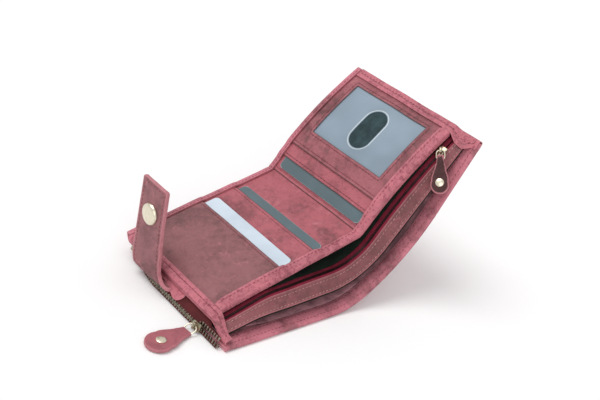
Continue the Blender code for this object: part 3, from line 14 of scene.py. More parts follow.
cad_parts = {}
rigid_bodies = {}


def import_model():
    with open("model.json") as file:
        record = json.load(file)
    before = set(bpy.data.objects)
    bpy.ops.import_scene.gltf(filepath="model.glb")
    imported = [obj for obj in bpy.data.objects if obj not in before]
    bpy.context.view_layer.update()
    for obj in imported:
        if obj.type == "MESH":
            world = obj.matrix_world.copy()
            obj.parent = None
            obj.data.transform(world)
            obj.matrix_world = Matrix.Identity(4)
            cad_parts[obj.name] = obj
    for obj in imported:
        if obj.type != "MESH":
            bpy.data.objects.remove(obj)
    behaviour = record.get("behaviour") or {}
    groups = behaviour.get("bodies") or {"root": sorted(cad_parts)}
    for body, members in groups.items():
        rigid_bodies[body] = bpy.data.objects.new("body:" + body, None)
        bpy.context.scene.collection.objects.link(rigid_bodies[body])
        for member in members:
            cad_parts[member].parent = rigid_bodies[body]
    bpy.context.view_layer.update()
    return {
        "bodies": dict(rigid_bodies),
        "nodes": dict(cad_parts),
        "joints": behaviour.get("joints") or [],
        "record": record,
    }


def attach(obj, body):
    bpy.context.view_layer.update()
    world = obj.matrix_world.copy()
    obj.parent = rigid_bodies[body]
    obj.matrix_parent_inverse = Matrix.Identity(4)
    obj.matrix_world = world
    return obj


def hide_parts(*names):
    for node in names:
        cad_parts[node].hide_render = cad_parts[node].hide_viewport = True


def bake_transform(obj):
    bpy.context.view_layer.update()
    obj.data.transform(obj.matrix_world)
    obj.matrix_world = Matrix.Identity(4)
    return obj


bl_info = {
    "name": "Wallet",
    "version": (1, 0, 0),
    "blender": (4, 5, 0),
    "location": "View3D > Sidebar > Wallet",
    "description": "Leather wallet with two zips, a strap and card pockets",
    "category": "Object",
}

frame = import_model()

# driving sizes of the card panel and the cover
OPEN_EDGE_Y = -0.039
PANEL_HEIGHT = 0.098
COVER_OVERHANG = 0.020
PANEL_LEFT_LENGTH = 0.1194
PANEL_RIGHT_LENGTH = 0.0968
LEFT_END_X = -0.0455
LEFT_END_Z = 0.0130
LEFT_SLOPE = math.radians(16.0)
FOLD_RADIUS = 0.006
FOLD_TURN = math.radians(40.6)
RIGHT_CURL_RADIUS = 0.270
FOLD_MARGIN = math.radians(8.0)
CLEARANCE = 0.0003
LAYER_GAP = 0.0005

# leather, lining and tape
BASE_LEATHER = 0.0007
POCKET_LEATHER = 0.0006
BINDING_LEATHER = 0.0006
COVER_LEATHER = 0.0014
HEM_WIDTH = 0.009
TURNED_EDGE_WIDTH = 0.003
LINING = 0.0005
BINDING_WIDTH = 0.006
BASE_TOP_DEPTH = 0.0010
DRAPE_WIDTH = 0.006

# card pockets, as distances from the left end of the panel, and the cards in them
CARD_LENGTH = 0.0854
CARD_WIDTH = 0.054
CARD_THICKNESS = 0.00076
BIG_POCKET_EDGE = 0.058
LEFT_STRIP_EDGE = 0.0872
LEFT_STRIP_START = 0.030
PALE_CARD_EDGE = 0.069
PALE_CARD_TURN = math.radians(0.6)
GRAY_CARD_EDGE = 0.0948
RIGHT_STRIP_LOWER_LEAD = 0.0044
RIGHT_STRIP_UPPER_EDGE = 0.0097
WINDOW_PANEL_EDGE = 0.0211
DARK_CARD_EDGE = 0.0006
WINDOW_START = 0.0361
WINDOW_LENGTH = 0.0474
WINDOW_HEIGHT = 0.0704
WINDOW_OPEN_SIDE_MARGIN = 0.0146
THUMB_SLOT_LENGTH = 0.034
THUMB_SLOT_HEIGHT = 0.019
THUMB_SLOT_RISE = 0.0002
WINDOW_FILM = 0.0003

# opening-side lines of the layers behind the panel
ZIP_LINE_Y = -0.0422
DIVIDER_EDGE_Y = -0.051
SPREAD_WIDTH = 0.045
LAYER_START_X = -0.044
ZIP_START_Z = 0.0086
DIVIDER_START_Z = 0.0059
COVER_START_X = -0.0475
COVER_FLAT_LENGTH = 0.0875
ZIP_SLOPE = math.radians(17.2)
DIVIDER_SLOPE = math.radians(12.7)
ZIP_RUNS = ((0.034, 0.0), (0.060, -12.9), (0.046, 0.0), (0.043, 53.7), (0.300, -17.3))
DIVIDER_RUNS = ((0.020, 0.0), (0.060, -9.8), (0.0565, 0.0), (0.0605, 51.5), (0.0890, 0.0))
COVER_RUNS = ((COVER_FLAT_LENGTH, 0.0), (0.058, 35.0), (0.150, 28.0), (0.0545, 0.0))
BILL_TAPE_WIDTH = 0.0050
DIVIDER_LEATHER = 0.0009
CLAMP_SHARE = 0.35

# teeth, sliders and pulls
TOOTH_REACH = 0.0017
TOOTH_BEAD = 0.0006
TEETH_THICKNESS = 0.0016
COIN_TOOTH_PITCH = 0.0024
COIN_CHAIN_X = -0.0503
COIN_CHAIN_Z = 0.0032
COIN_CHAIN_LEAN = math.radians(20.0)
COIN_CHAIN_FAR_Y = 0.048
COIN_SLIDER_Y = -0.034
COIN_TEETH_END_Y = -0.054
COIN_TEETH_SPREAD = 0.0032
SLIDER_LENGTH = 0.0080
SLIDER_WIDTH = 0.0058
SLIDER_BACK_WIDTH = 0.0024
SLIDER_PLATE = 0.0009
SLIDER_POST_WIDTH = 0.0012
BRIDGE_LENGTH = 0.0016
BRIDGE_WIDTH = 0.0046
BRIDGE_RISE = 0.0030
BRIDGE_BAR = 0.0008
COIN_LOOP_LENGTH = 0.0080
COIN_LOOP_WIDTH = 0.0060
BILL_LOOP_LENGTH = 0.0057
BILL_LOOP_WIDTH = 0.0068
LOOP_CORNER = 0.0024
LOOP_WIRE_RADIUS = 0.0005
TAB_THICKNESS = 0.0026
TAB_TONGUE_LENGTH = 0.0030
COIN_TAB_NECK = 0.0100
COIN_TAB_SWING = math.radians(6.0)
COIN_RIVET_RADIUS = 0.0033
BILL_TAB_NECK = 0.0070
BILL_TAB_SWING = math.radians(40.0)
BILL_RIVET_RADIUS = 0.0029
RIVET_RISE = 0.0010
BILL_SLIDER_SHARE = 0.82

# strap, snap and anchor patch
STRAP_WIDTH = 0.028
STRAP_TOP_WIDTH = 0.026
STRAP_THICKNESS = 0.0024
STRAP_CENTRE_Y = 0.0255
STRAP_ROOT_SHIFT = 0.004
STRAP_FACE_X = -0.0534
STRAP_CURL_RADIUS = 0.0032
STRAP_ROOT_RUN = 0.0020
STRAP_HINGE_Z = 0.0116
STRAP_LENGTH = 0.0605
PATCH_LENGTH = 0.047
PATCH_REACH = 0.0021
PATCH_CENTRE_Y = 0.0155
LEFT_BINDING_SHUT_SHARE = 0.55
SNAP_HEIGHT = 0.0385
SNAP_CAP_RADIUS = 0.0073
SNAP_CAP_RISE = 0.0030
SNAP_SOCKET_RADIUS = 0.0055
SNAP_SOCKET_DEPTH = 0.0025
SNAP_STUD_DEPTH = 0.0030
SNAP_STUD_INSET = 0.0132

X_AXIS = Vector((1.0, 0.0, 0.0))
Y_AXIS = Vector((0.0, 1.0, 0.0))
UP = Vector((0.0, 0.0, 1.0))
STRAP_OUT = -X_AXIS
SAMPLES = 240

# details that only the visual model has
SLOT_SEAM = 0.0024
WINDOW_SEAM = 0.0024
SEWN_LOW_Y = OPEN_EDGE_Y + BINDING_WIDTH
SEWN_HIGH_Y = OPEN_EDGE_Y + PANEL_HEIGHT - TURNED_EDGE_WIDTH - LAYER_GAP
EDGE_SEAM = 0.0042
END_SEAM_SHARE = 0.335
END_CROWN = 0.00045
LEFT_FOOT_NARROWING = 0.35
BINDING_CROWN = 0.00025
TOP_LEG = (1.0, 0.88, 0.75, 0.6, 0.45, 0.3, 0.15)
RIM_WIDTH = 0.0007
RIM_HEIGHT = 0.0002
RIM_SETBACK = 0.0004
SLOT_INSET = 0.0006
RIM_SAMPLES = 4
RIM_STEPS = 72
OBROUND_EASE = 0.0015
NEARLY_ZERO = 0.000001
WELD = 0.000001
SMALL = 0.001
STITCH_RISE = 0.1
BILL_TAPE_INNER = 0.0006
BILL_TAPE_SHOWN = 0.0034
DIVIDER_TOP_DROP = 0.0022
DIVIDER_LIFT = 0.0006
BILL_CHAIN_START_SHARE = 0.004
BILL_TOOTH_STEP = 0.00065
BILL_TOOTH_LIFT = 0.0004
BILL_TOOTH_THICKNESS = 0.0009
BILL_TOOTH_SHAPE = ((-0.0010, 0.00020), (0.0002, 0.00022), (0.0004, 0.00030), (0.0007, 0.00022))
COIN_TOOTH_THICKNESS = 0.0015
COIN_TOOTH_BEVEL = 0.00014
COIN_TOOTH_SHAPE = ((-0.0017, 0.00050), (-0.0009, 0.00054), (-0.0004, 0.00038), (0.0000, 0.00034),
                    (0.0003, 0.00046), (0.0006, 0.00044), (0.0008, 0.00026))
SLIDER_SHAPE = ((-1.0, 0.62), (-0.92, 0.78), (-0.6, 0.9), (-0.2, 0.86), (0.1, 0.86), (0.45, 0.97), (0.8, 1.0),
                (0.96, 0.9), (1.0, 0.72))
BRIDGE_SQUARENESS = 0.55
BRIDGE_STEPS = 12
TAB_TIP = 0.0010
COIN_TONGUE_WIDTH = 0.0082
BILL_TONGUE_WIDTH = 0.0046
BILL_TAB_TIP = 0.0034
RIVET_SETBACK = 0.0014
RIVET_SHARES = (0.2, 0.4, 0.6, 0.75, 0.88, 0.96, 1.0)
RIVET_ROUNDNESS = 0.85
LOOP_CORNER_STEPS = 6
TAB_CUTS = 20
TAB_TIP_CORNER = 0.0004
TAB_SHOULDER = 0.001
TAB_SIDE_STEPS = 6
TAB_WAIST = 0.92
TAB_TURN_START = math.radians(68.0)
TAB_TURN_STEPS = 24
TAB_BEVEL = 0.0005
TAB_THICKNESS_SHARE = 0.8
COIN_TAB_LENGTH = 0.0305
COIN_TAB_ROUND = 0.0090
BILL_TAB_LENGTH = 0.0238
BILL_TAB_ROUND = 0.0062
STRAP_FLARE = 0.0085
STRAP_FLARE_DROP = 0.0012
STRAP_CUP = 0.0004
STRAP_TIP_CORNER = 0.0018
STRAP_SAG = 0.0028
STRAP_SAG_START = 0.2
STRAP_SAG_RUN = 0.35
STRAP_LEAN = 0.0014
STRAP_SPREAD = 0.0032
STRAP_SPREAD_RISE = 0.034
STRAP_SPREAD_POWER = 1.5
PATCH_ROUND = 0.0075
PATCH_OUT_SHARE = 3.0
PATCH_FREE_RUN = 0.021
PATCH_HELD_SHARE = 0.35
PATCH_BLUNTNESS = 2.4
PATCH_BULGE = 0.7
PATCH_SHARES = (0.0, 0.12, 0.25, 0.4, 0.55, 0.7, 0.85, 1.0)
STRAP_SEAM = 0.0024
PATCH_LEATHER = 0.0011
PATCH_FALL = 0.0050
PATCH_OPEN_SIDE_RUN = 0.0034
SNAP_RIM_RISE = 0.0009
SNAP_CAP_SHARES = (0.15, 0.3, 0.45, 0.6, 0.72, 0.82, 0.9, 0.95)
SNAP_CAP_EDGE = ((0.985, 0.8), (1.0, 0.4), (0.97, 0.0), (0.0, 0.0))
EDGE_TURN_RUN = 0.003
EDGE_PATH_RUN = 0.005
BACKING_MARGIN = 0.002
BACKING_MARGIN_SHARE = 0.02
BINDING_END_SHARE = 0.004
COIN_TAPE_END = 0.011
SOFT_BEVEL = 0.0003
SHARP_BEVEL = 0.00015
BACK_BEVEL = 0.0002
POST_BEVEL = 0.0001
COIN_TAB_SAG = 0.0006
BILL_TAB_SAG = 0.0004

# noises of the looks: scale, detail, roughness and distortion
MIST = (34.0, 5.0, 0.62, 0.5)
FIBRE = (230.0, 4.0, 0.65, 0.3)
BLOTCH = (330.0, 6.0, 0.7, 0.8)
RUBBED = (75.0, 8.0, 0.72, 1.1)
SPECKS = (760.0, 4.0, 0.7)
CREASES = (120.0, 6.0, 0.6, 1.5)
NAP = (55.0, 6.0, 0.7, 0.6)
FINE_NAP = (900.0, 4.0, 0.6)
UNEVEN_CLOTH = (160.0, 5.0, 0.6)
PATINA = (420.0, 5.0, 0.65, 0.4)
METAL_RUBS = (2600.0, 3.0, 0.6)
CARD_SHEEN = (30.0, 3.0, 0.5)
CARD_GRAIN = (2400.0, 2.0, 0.5)
FILM_WAVE = (26.0, 2.0, 0.4)
FILM_HAZE = (300.0, 4.0, 0.6)
FLOOR_SHEEN = (3.0, 2.0)
GRAIN_SCALE = 1500.0
GRAIN_SMOOTHNESS = 0.5

# how far in from an edge a look's wear, dark cut edge with its painted shade, groove line with its painted
# shade, and core reach
WORN_EDGE = (0.0002, 0.0011)
WORN_UNEVENNESS = 0.0016
DARK_EDGE_AND_SHADE = (0.0003, 0.0009)
PRESSED_LINE = (0.0001, 0.0004)
CARD_CORE = 0.0004

# heights of the looks' relief
LEATHER_RELIEF = 0.00022
SUEDE_RELIEF = 0.0001
CLOTH_RELIEF = 0.00012
METAL_RELIEF = 0.00004
CARD_RELIEF = 0.00005
FILM_RELIEF = 0.0002
FLOOR_RELIEF = 0.00001

# rows of stitches: how far in from an edge they run, between which shares of the wallet, and how much
# of its half thickness they stand above the middle of the soft left strip
HEM_SEAM_OUTER = 0.0018
HEM_SEAM_INNER = 0.0016
HEM_SEAM_SHARES = (0.03, 2.93)
CLOSED_EDGE_SEAM = 0.0012
CLOSED_SEAM_SHARES = (0.02, 2.98)
DIVIDER_SEAM_UPPER = 0.0012
DIVIDER_SEAM_LOWER = 0.0014
DIVIDER_SEAM_SHARES = (0.02, 2.95)
EDGE_SEAM_END_SHARE = 0.02
END_SEAM_TOP = 0.001
END_SEAM_FOOT = 0.002
STRIP_SEAM_DEPTH_SHARE = 0.7

# how finely sheets and lines are divided: distances, shares of a half, and counts
SHEET_STEP = 0.0022
FINE_STEP = 0.0015
END_STEP = 0.0018
TAPE_STEP = 0.0008
STRIP_STEP = 0.0006
CURL_STEP = 0.0007
BACKING_STEP = 0.004
POCKET_SHARE_STEP = 0.018
UPPER_STRIP_SHARE_STEP = 0.022
WINDOW_SHARE_STEPS = (0.018, 0.024, 0.012)
BACKING_SHARE_STEP = 0.03
HEM_TURN_STEPS = 8
FILM_STEPS = 16
FILM_SIDE_STEPS = 20
CARD_CORNER_STEPS = 6
CORNER_STEPS = 8
LONG_SEAM_STEPS = 400
END_SEAM_STEPS = 200
CHAIN_STEPS = 500

# the photograph's camera
SENSOR_WIDTH = 36.0
CAMERA_PLACE = Vector((-0.3722, -0.3925, 0.3566))
CAMERA_RIGHT = Vector((0.7453, -0.6307, 0.2162))
CAMERA_DOWN = Vector((-0.1615, -0.4855, -0.8592))
CAMERA_AHEAD = Vector((0.6469, 0.6054, -0.4637))


def clamp(value):
    """The value, kept between 0 and 1."""
    return min(max(value, 0.0), 1.0)


def ease(value):
    """Smooth step from 0 to 1."""
    t = clamp(value)
    return t * t * (3.0 - 2.0 * t)


def mix(a, b, share):
    """The value at a share of the way from a to b."""
    return a + (b - a) * share


def stations(start, end, count):
    """Evenly spaced values from start to end, both included."""
    return [mix(start, end, i / count) for i in range(count + 1)]


def xz(x, z, y=0.0):
    """A point or a direction of the XZ plane."""
    return Vector((x, y, z))


class Section:
    """A line in the XZ plane made of straights and arcs, walked by distance."""

    def __init__(self, x, z, heading):
        self.pieces = []
        self.x = x
        self.z = z
        self.heading = heading
        self.length = 0.0

    def add(self, length, curvature):
        self.pieces.append((self.length, self.x, self.z, self.heading, curvature))
        self.x, self.z, self.heading = self.step(self.x, self.z, self.heading, curvature, length)
        self.length += length
        return self

    def straight(self, length):
        return self.add(length, 0.0)

    def arc(self, radius, turn):
        return self.add(radius * abs(turn), math.copysign(1.0 / radius, turn))

    def follow(self, runs):
        """Add straights, as (length, 0), and arcs, as (radius, turn in degrees)."""
        for size, turn in runs:
            if turn:
                self.arc(size, math.radians(turn))
            else:
                self.straight(size)
        return self

    @staticmethod
    def step(x, z, heading, curvature, length):
        if curvature == 0.0:
            return x + length * math.cos(heading), z + length * math.sin(heading), heading
        end = heading + curvature * length
        x += (math.sin(end) - math.sin(heading)) / curvature
        z += (math.cos(heading) - math.cos(end)) / curvature
        return x, z, end

    def at(self, distance):
        """Point and heading at a distance; before the start and past the end it runs straight on."""
        if distance >= self.length:
            over = distance - self.length
            return self.step(self.x, self.z, self.heading, 0.0, over)
        chosen = self.pieces[0]
        for piece in self.pieces:
            if piece[0] <= distance:
                chosen = piece
        begin, x, z, heading, curvature = chosen
        if distance < 0.0:
            curvature = 0.0
        return self.step(x, z, heading, curvature, distance - begin)

    def beside(self, distance, depth):
        """Point at a depth on the outer side of the line."""
        x, z, heading = self.at(distance)
        return xz(x + depth * math.sin(heading), z - depth * math.cos(heading))


RIGHT_TURN = PANEL_RIGHT_LENGTH / RIGHT_CURL_RADIUS
FACE = (Section(LEFT_END_X, LEFT_END_Z, LEFT_SLOPE)
        .straight(PANEL_LEFT_LENGTH)
        .arc(FOLD_RADIUS, FOLD_TURN)
        .arc(RIGHT_CURL_RADIUS, -RIGHT_TURN))
FOLD_LENGTH = FOLD_RADIUS * FOLD_TURN
FOLD_AXIS = FACE.beside(PANEL_LEFT_LENGTH, -FOLD_RADIUS)
RIGHT_START = PANEL_LEFT_LENGTH + FOLD_LENGTH
LEFT_RAY = LEFT_SLOPE - math.pi / 2.0 - FOLD_MARGIN
RIGHT_RAY = LEFT_SLOPE + FOLD_TURN - math.pi / 2.0 + FOLD_MARGIN
CLOSED_EDGE_Y = OPEN_EDGE_Y + PANEL_HEIGHT
COVER_EDGE_Y = OPEN_EDGE_Y - COVER_OVERHANG


def stack(s, depth):
    """Point of the flat stack at a depth under the card face.

    s runs from 0 to 1 over the left half, to 2 round the fold and to 3 over the right half.
    """
    reach = FOLD_RADIUS + depth
    set_back = reach * math.tan(FOLD_MARGIN)
    if s <= 1.0:
        return FACE.beside(s * (PANEL_LEFT_LENGTH - set_back), depth)
    if s >= 2.0:
        run = PANEL_RIGHT_LENGTH - set_back
        return FACE.beside(RIGHT_START + set_back + (s - 2.0) * run, depth)
    angle = mix(LEFT_RAY, RIGHT_RAY, s - 1.0)
    beyond = max(LEFT_RAY + FOLD_MARGIN - angle, angle - RIGHT_RAY + FOLD_MARGIN, 0.0)
    radius = reach / math.cos(beyond)
    return FOLD_AXIS + radius * xz(math.cos(angle), math.sin(angle))


def share_at(distance):
    """s of a distance along the card face from the left end of the panel."""
    if distance <= PANEL_LEFT_LENGTH:
        return distance / PANEL_LEFT_LENGTH
    return 2.0 + (distance - RIGHT_START) / PANEL_RIGHT_LENGTH


class Guide:
    """The line that a layer follows at the opening side, shared out like the stack."""

    def __init__(self, section):
        self.section = section
        self.steps = stations(0.0, section.length, SAMPLES)
        self.angles = [self.angle(d) for d in self.steps]
        self.left = self.at_angle(LEFT_RAY)
        self.right = self.at_angle(RIGHT_RAY)

    def angle(self, distance):
        x, z, _heading = self.section.at(distance)
        return math.atan2(z - FOLD_AXIS.z, x - FOLD_AXIS.x)

    def at_angle(self, angle):
        for i in range(SAMPLES):
            if self.angles[i] <= angle <= self.angles[i + 1]:
                share = (angle - self.angles[i]) / (self.angles[i + 1] - self.angles[i])
                return mix(self.steps[i], self.steps[i + 1], share)
        return self.section.length

    def distance(self, s):
        if s <= 1.0:
            return s * self.left
        if s >= 2.0:
            return mix(self.right, self.section.length, s - 2.0)
        return self.at_angle(mix(LEFT_RAY, RIGHT_RAY, s - 1.0))

    def at(self, s, depth=0.0):
        return self.section.beside(self.distance(s), depth)


ZIP_SECTION = Section(LAYER_START_X, ZIP_START_Z, ZIP_SLOPE).follow(ZIP_RUNS)
ZIP_GUIDE = Guide(ZIP_SECTION)
DIVIDER_GUIDE = Guide(Section(LAYER_START_X, DIVIDER_START_Z, DIVIDER_SLOPE).follow(DIVIDER_RUNS))
COVER_GUIDE = Guide(Section(COVER_START_X, COVER_LEATHER / 2.0, 0.0).follow(COVER_RUNS))

# middle depths of the flat layers under the card face
BASE_DEPTH = BASE_TOP_DEPTH + BASE_LEATHER / 2.0
LEG_DEPTH = BASE_TOP_DEPTH + BASE_LEATHER + CLEARANCE + BINDING_LEATHER / 2.0
PANEL_DEPTH = LEG_DEPTH + BINDING_LEATHER / 2.0 + CLEARANCE + LINING / 2.0
BACK_DEPTH = PANEL_DEPTH + LINING + LAYER_GAP
COIN_DEPTH = BACK_DEPTH + LINING + LAYER_GAP
COVER_DEPTH = COIN_DEPTH + LINING / 2.0 + LAYER_GAP + COVER_LEATHER / 2.0
POCKET_STEP = POCKET_LEATHER + CLEARANCE
HEM_STEP = COVER_LEATHER + CLEARANCE


def free_spread(y):
    """How far a layer that nothing holds has left the flat stack for its opening-side line."""
    return ease((CLOSED_EDGE_Y - y) / SPREAD_WIDTH)


def pinned_spread(y):
    """The same for a layer that an end binding holds in the stack as far as the openings."""
    hold = OPEN_EDGE_Y / 2.0
    return ease((hold - y) / (hold - ZIP_LINE_Y))


def spread(s, y):
    """How far a lining has left the stack: held by the bindings at both ends, free between them."""
    return mix(pinned_spread(y), free_spread(y), ease(min(s, 3.0 - s) / CLAMP_SHARE))


def cover_spread(s, y):
    """The same for the cover, which only the right end's binding holds."""
    return mix(pinned_spread(y), free_spread(y), ease((3.0 - s) / CLAMP_SHARE))


def with_y(point, y):
    """The point, moved along Y to a place."""
    return Vector((point.x, y, point.z))


def zip_surface(s, y, depth=0.0):
    """The lining panel, then the zip tape, then the divider strip down to its free edge."""
    upper = stack(s, PANEL_DEPTH + depth).lerp(ZIP_GUIDE.at(s, depth), spread(s, y))
    drop = ease((ZIP_LINE_Y - y) / (ZIP_LINE_Y - DIVIDER_EDGE_Y))
    return with_y(upper.lerp(DIVIDER_GUIDE.at(s, depth), drop), y)


BACK_OFFSET = DIVIDER_LEATHER / 2.0 + LAYER_GAP + LINING / 2.0
COIN_OFFSET = BACK_OFFSET + LINING + LAYER_GAP
COIN_ABOVE_COVER = -(COVER_LEATHER / 2.0 + 2.0 * LAYER_GAP + LINING / 2.0)


def back_surface(s, y):
    point = stack(s, BACK_DEPTH).lerp(DIVIDER_GUIDE.at(s, BACK_OFFSET), spread(s, y))
    return with_y(point, y)


def coin_surface(s, y):
    low = COVER_GUIDE.at(s, COIN_ABOVE_COVER)
    guide = DIVIDER_GUIDE.at(s, COIN_OFFSET).lerp(low, ease(s / CLAMP_SHARE))
    return with_y(stack(s, COIN_DEPTH).lerp(guide, spread(s, y)), y)


def cover_surface(s, y, rise=0.0):
    point = stack(s, COVER_DEPTH - rise).lerp(COVER_GUIDE.at(s, -rise), cover_spread(s, y))
    return with_y(point, y)


def frame_of(origin, x_axis, z_axis):
    """A frame whose X and Z axes point as given."""
    x_axis = x_axis.normalized()
    z_axis = (z_axis - z_axis.dot(x_axis) * x_axis).normalized()
    y_axis = z_axis.cross(x_axis)
    turn = Matrix((x_axis, y_axis, z_axis)).transposed().to_4x4()
    return Matrix.Translation(origin) @ turn


GAP_SHARE = CLEARANCE / PANEL_LEFT_LENGTH
LEFT_END = 1.0 - GAP_SHARE
RIGHT_BEGIN = 2.0 + GAP_SHARE
LEG_SHARE = (BINDING_WIDTH + CLEARANCE) / PANEL_RIGHT_LENGTH
RIGHT_LEG_SHARES = [3.0 - LEG_SHARE - DRAPE_WIDTH / 2.0 / PANEL_RIGHT_LENGTH, 3.0 - LEG_SHARE, 3.0]
LAYER_RAMP = 0.045
FOLD_RAMP_START = 1.25
FOLD_RAMP = 0.3


def slot_shares():
    """s of the slot edges that step up the sewn stack: left pocket, left strip, right strip, frame."""
    return (share_at(BIG_POCKET_EDGE), share_at(LEFT_STRIP_EDGE),
            2.0 + RIGHT_STRIP_UPPER_EDGE / PANEL_RIGHT_LENGTH, 2.0 + WINDOW_PANEL_EDGE / PANEL_RIGHT_LENGTH)


def sewn_layers(s):
    """How many pocket leathers lie in the sewn edge, ramping down past each slot edge."""
    pocket, strip, upper, window = slot_shares()
    if s <= 1.0:
        return 2.0 - ease((s - pocket) / LAYER_RAMP) - ease((s - strip) / LAYER_RAMP)
    if s < 2.0:
        return ease((s - FOLD_RAMP_START) / FOLD_RAMP)
    return 1.0 + ease((s - upper) / LAYER_RAMP + 1.0) + ease((s - window) / LAYER_RAMP + 1.0)


def panel_top(s):
    """Height of the flat, sewn pocket stack over the card face."""
    return sewn_layers(s) * POCKET_STEP - BASE_TOP_DEPTH


def drape(y):
    """How much of a card's thickness a pocket rises by, from the sewn edges inwards."""
    open_side = (y - OPEN_EDGE_Y) / DRAPE_WIDTH
    closed_side = (CLOSED_EDGE_Y - TURNED_EDGE_WIDTH - y) / (DRAPE_WIDTH - TURNED_EDGE_WIDTH)
    return ease(min(open_side, closed_side))


def right_end_drape(s):
    """Brings the right pockets down again before the end binding's leg."""
    return ease(((3.0 - s) * PANEL_RIGHT_LENGTH - BINDING_WIDTH - CLEARANCE) / (DRAPE_WIDTH / 2.0))


def pocket_place(layer, cards, start=None):
    """Middle of a pocket leather: the number of leathers under it and of cards it rises over."""
    def place(s, y):
        rise = cards * (CARD_THICKNESS + CLEARANCE) * drape(y)
        if start is not None:
            rise *= ease((s - start) / (DRAPE_WIDTH / PANEL_LEFT_LENGTH))
        if s > 2.0:
            rise *= right_end_drape(s)
        height = (layer - 1) * POCKET_STEP + CLEARANCE + POCKET_LEATHER / 2.0 + rise
        return with_y(stack(s, BASE_TOP_DEPTH - height), y)
    return place


def edge_top(s):
    """Height of the binding's upper leg over the card face, clear of the leathers it wraps."""
    return panel_top(s) + CLEARANCE + BINDING_LEATHER / 2.0


def rise_under(s, y):
    """How far the pockets under the binding rise over their cards at this place."""
    pocket, strip, upper, window = slot_shares()
    cards = 0.0
    if s <= 1.0:
        start = ease((s - share_at(BINDING_WIDTH)) * PANEL_LEFT_LENGTH / DRAPE_WIDTH)
        cards = 2.0 * start - ease((s - pocket) / LAYER_RAMP) - ease((s - strip) / LAYER_RAMP)
    elif s >= 2.0:
        film = (WINDOW_FILM + CLEARANCE) / (CARD_THICKNESS + CLEARANCE)
        cards = ease((s - upper) / LAYER_RAMP + 1.0) + film * ease((s - window) / LAYER_RAMP + 1.0)
        cards *= right_end_drape(s)
    return cards * (CARD_THICKNESS + CLEARANCE) * drape(y)


def left_binding_drop(y):
    """How far the left binding has come down from the card face to the cover's corner."""
    return ease((OPEN_EDGE_Y - CLEARANCE - y) / (COVER_OVERHANG - HEM_WIDTH / 2.0))


def right_leg(s, y):
    """Middle of the right binding's upper leg: on the card side, the divider strip, then the hem."""
    over = CLEARANCE + BINDING_LEATHER / 2.0
    flat = stack(s, BASE_TOP_DEPTH - 3 * POCKET_STEP - over)
    strip = zip_surface(s, min(y, ZIP_LINE_Y - TOOTH_REACH), -TEETH_THICKNESS / 2.0 - over)
    hem = cover_surface(s, y, HEM_STEP + COVER_LEATHER / 2.0 + over)
    low = strip.lerp(hem, ease((DIVIDER_EDGE_Y - y) / (HEM_WIDTH / 2.0)))
    return with_y(flat.lerp(low, ease((OPEN_EDGE_Y - CLEARANCE - y) / BINDING_WIDTH)), y)


COIN_DOWN = Vector((-math.sin(COIN_CHAIN_LEAN), 0.0, -math.cos(COIN_CHAIN_LEAN)))
COIN_OUT = Vector((-math.cos(COIN_CHAIN_LEAN), 0.0, math.sin(COIN_CHAIN_LEAN)))


def end_rise(y):
    """How far the cover's left edge has come in and up towards the closed edge."""
    return with_y(cover_surface(0.0, y) - cover_surface(0.0, OPEN_EDGE_Y), 0.0)


def coin_row_centre(y, upper):
    """Middle line of the coin zip; inside the slider the upper row parts from the lower one."""
    lift = 0.0
    if upper:
        begin = COIN_SLIDER_Y + SLIDER_LENGTH / 3.0
        lift = COIN_TEETH_SPREAD * ease((begin - y) / (SLIDER_LENGTH * 0.7))
    return xz(COIN_CHAIN_X, COIN_CHAIN_Z, y) + end_rise(y) - COIN_DOWN * lift


def bill_frame():
    """Place and axes of the bill slider: along the teeth, across the strip and out of it."""
    s = mix(2.0, 3.0, BILL_SLIDER_SHARE)
    heading = ZIP_SECTION.at(ZIP_GUIDE.distance(s))[2]
    point = zip_surface(s, ZIP_LINE_Y)
    along = xz(math.cos(heading), math.sin(heading))
    strip = zip_surface(s, DIVIDER_EDGE_Y) - zip_surface(s, ZIP_LINE_Y - TOOTH_REACH)
    across = (strip - strip.dot(along) * along).normalized()
    outward = across.cross(along)
    chain = zip_surface(s, ZIP_LINE_Y - TOOTH_REACH) - zip_surface(s, ZIP_LINE_Y + TOOTH_REACH)
    chain_out = (chain - chain.dot(along) * along).normalized().cross(along)
    return point, along, across, outward, chain_out


